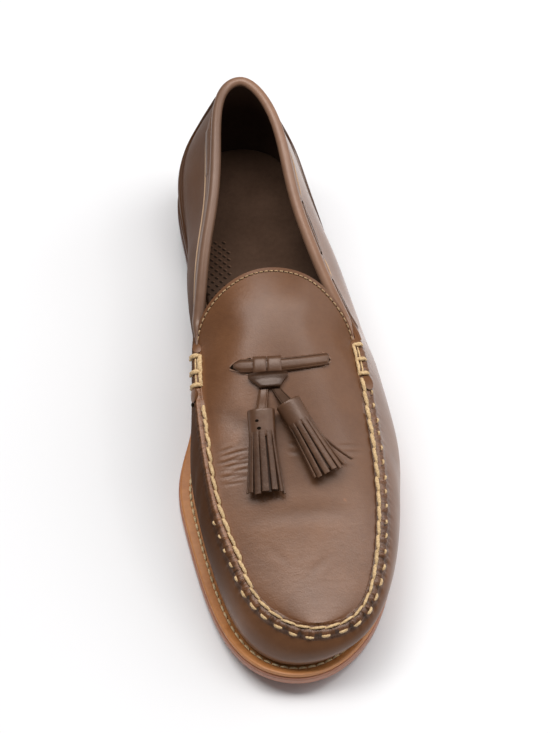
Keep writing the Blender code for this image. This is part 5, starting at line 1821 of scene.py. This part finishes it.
def make_collar_stitches():
    """Small stitches in the fold under the roll, on its outer side."""
    v = round_heel(top_point, float(station_v(1, COLLAR_END - 0.012)), COLLAR_STITCH_PITCH)
    centre, radius, out, up = collar_path(v)
    normal = out * math.cos(COLLAR_FOLD) + up * math.sin(COLLAR_FOLD)
    line = centre + normal * (radius * 0.86)[:, None]
    share = np.linspace(0.12, 0.75, STITCH_STEPS)
    paths = line[:-1, None] + share[None, :, None] * (line[1:] - line[:-1])[:, None]
    normals = np.broadcast_to(normal[:-1, None], paths.shape)
    paths = paths + normals * stitch_profile(0.30 * MM, 0.3 * MM)[None, :, None]
    piece = make_threads("collar_stitches", paths, normals, stitch_width(0.30 * MM)[None], FINE_THREAD)
    return place(piece, "collar_leather")


# Pinholes of the sock: corner of their field as (x, station), step of their grid, field's width and length
PINHOLE_CORNER = (-0.0345, 0.0660)
PINHOLE_STEP = 0.0042
PINHOLE_FIELD = (0.0125, 0.0330)


def make_pinholes():
    """A diagonal grid of small holes in the sock, by its medial edge under the tongue."""
    places = []
    for row in range(20):
        for column in range(12):
            x = column * PINHOLE_STEP + (row % 2) * PINHOLE_STEP / 2
            along = row * PINHOLE_STEP / 2
            if x < PINHOLE_FIELD[0] - 0.25 * abs(along - 0.012) and along < PINHOLE_FIELD[1]:
                places.append((PINHOLE_CORNER[0] + x, PINHOLE_CORNER[1] + along))
    x, station = np.array(places).T
    centres = np.stack([x, LENGTH / 2 - station, seat(station) + INSOLE_THICKNESS + 0.00003], -1)
    normals = np.broadcast_to([0.0, 0.0, 1.0], centres.shape)
    runs = np.broadcast_to([0.75, -0.66, 0.0], centres.shape)
    # dark spots: painted shade of the holes
    piece = make_spots("sock_pinholes", centres, normals, runs, 0.00105, 0.00056, PINHOLE_SHADE)
    place(piece, "sock_leather")
    lips = centres + np.array([0.66, 0.75, 0.0]) * 0.00085
    piece = make_spots("sock_pinhole_lips", lips, normals, runs, 0.00095, 0.00042, LACE_LEATHER)
    return place(piece, "sock_leather")


# Stage


CAMERA_PLACE = Vector((-0.0382, -0.7277, 1.1100))
CAMERA_AIM = Vector((-0.004, 0.010, 0.030))
CAMERA_LENS = 134.0


def make_camera():
    data = bpy.data.cameras.new("camera")
    data.sensor_width = 36.0
    data.lens = CAMERA_LENS
    camera = bpy.data.objects.new("camera", data)
    camera.location = CAMERA_PLACE
    camera.rotation_euler = (CAMERA_AIM - CAMERA_PLACE).to_track_quat("-Z", "Y").to_euler()
    bpy.context.scene.collection.objects.link(camera)
    bpy.context.scene.camera = camera


def add_light(name, location, aim, size, power, colour=(1.0, 1.0, 1.0)):
    data = bpy.data.lights.new(name, "AREA")
    data.shape = "RECTANGLE"
    data.size, data.size_y = size
    data.energy = power
    data.color = colour
    light = bpy.data.objects.new(name, data)
    light.location = location
    light.rotation_euler = (Vector(aim) - Vector(location)).to_track_quat("-Z", "Y").to_euler()
    bpy.context.scene.collection.objects.link(light)


def make_stage():
    size = 3.0
    corners = [(-size, -size, 0), (size, -size, 0), (size, size, 0), (-size, size, 0)]
    floor_look = Surface("pale_floor", Specular_IOR_Level=0.2)
    tint = floor_look.ramp(floor_look.noise(3.0, 2.0), (0.3, (0.82, 0.82, 0.83)), (0.7, (0.84, 0.84, 0.85)))
    floor_look.shader.inputs["Roughness"].default_value = 0.6
    floor = add_mesh("floor", corners, [(0, 1, 2, 3)], [floor_look.finish(tint)])
    add_light("key", (0.00, 0.10, 1.3), (0.00, 0.02, 0.03), (1.70, 0.44), 17.3, (1.0, 0.985, 0.97))
    add_light("back", (-0.18, 0.50, 1.3), (-0.18, 0.10, 0.05), (0.50, 0.40), 2.9, (1.0, 0.985, 0.97))
    add_light("fill", (1.2, 0.25, 1.0), (0.0, 0.0, 0.05), (1.2, 1.2), 9.0, (0.97, 0.985, 1.0))
    world = bpy.data.worlds.new("studio")
    world.use_nodes = True
    background = world.node_tree.nodes["Background"]
    background.inputs["Color"].default_value = (0.95, 0.97, 1.0, 1.0)
    background.inputs["Strength"].default_value = 0.19
    scene = bpy.context.scene
    scene.world = world
    scene.view_settings.view_transform = "Standard"


def main():
    make_camera()
    make_upper()
    make_counter()
    make_collar()
    make_collar_band()
    make_outsole()
    make_welt()
    make_heel()
    make_insole()
    make_pinholes()
    make_vamp_lace()
    make_lace_slots()
    make_side_laces()
    make_knot()
    make_lace_ends()
    for side, tassel in TASSELS.items():
        make_tassel(side, tassel)
    make_head_holes()
    make_seam_stitches()
    make_bars()
    make_ridge_ends()
    make_tongue_stitches()
    make_welt_stitches()
    make_collar_stitches()
    make_stage()


main()
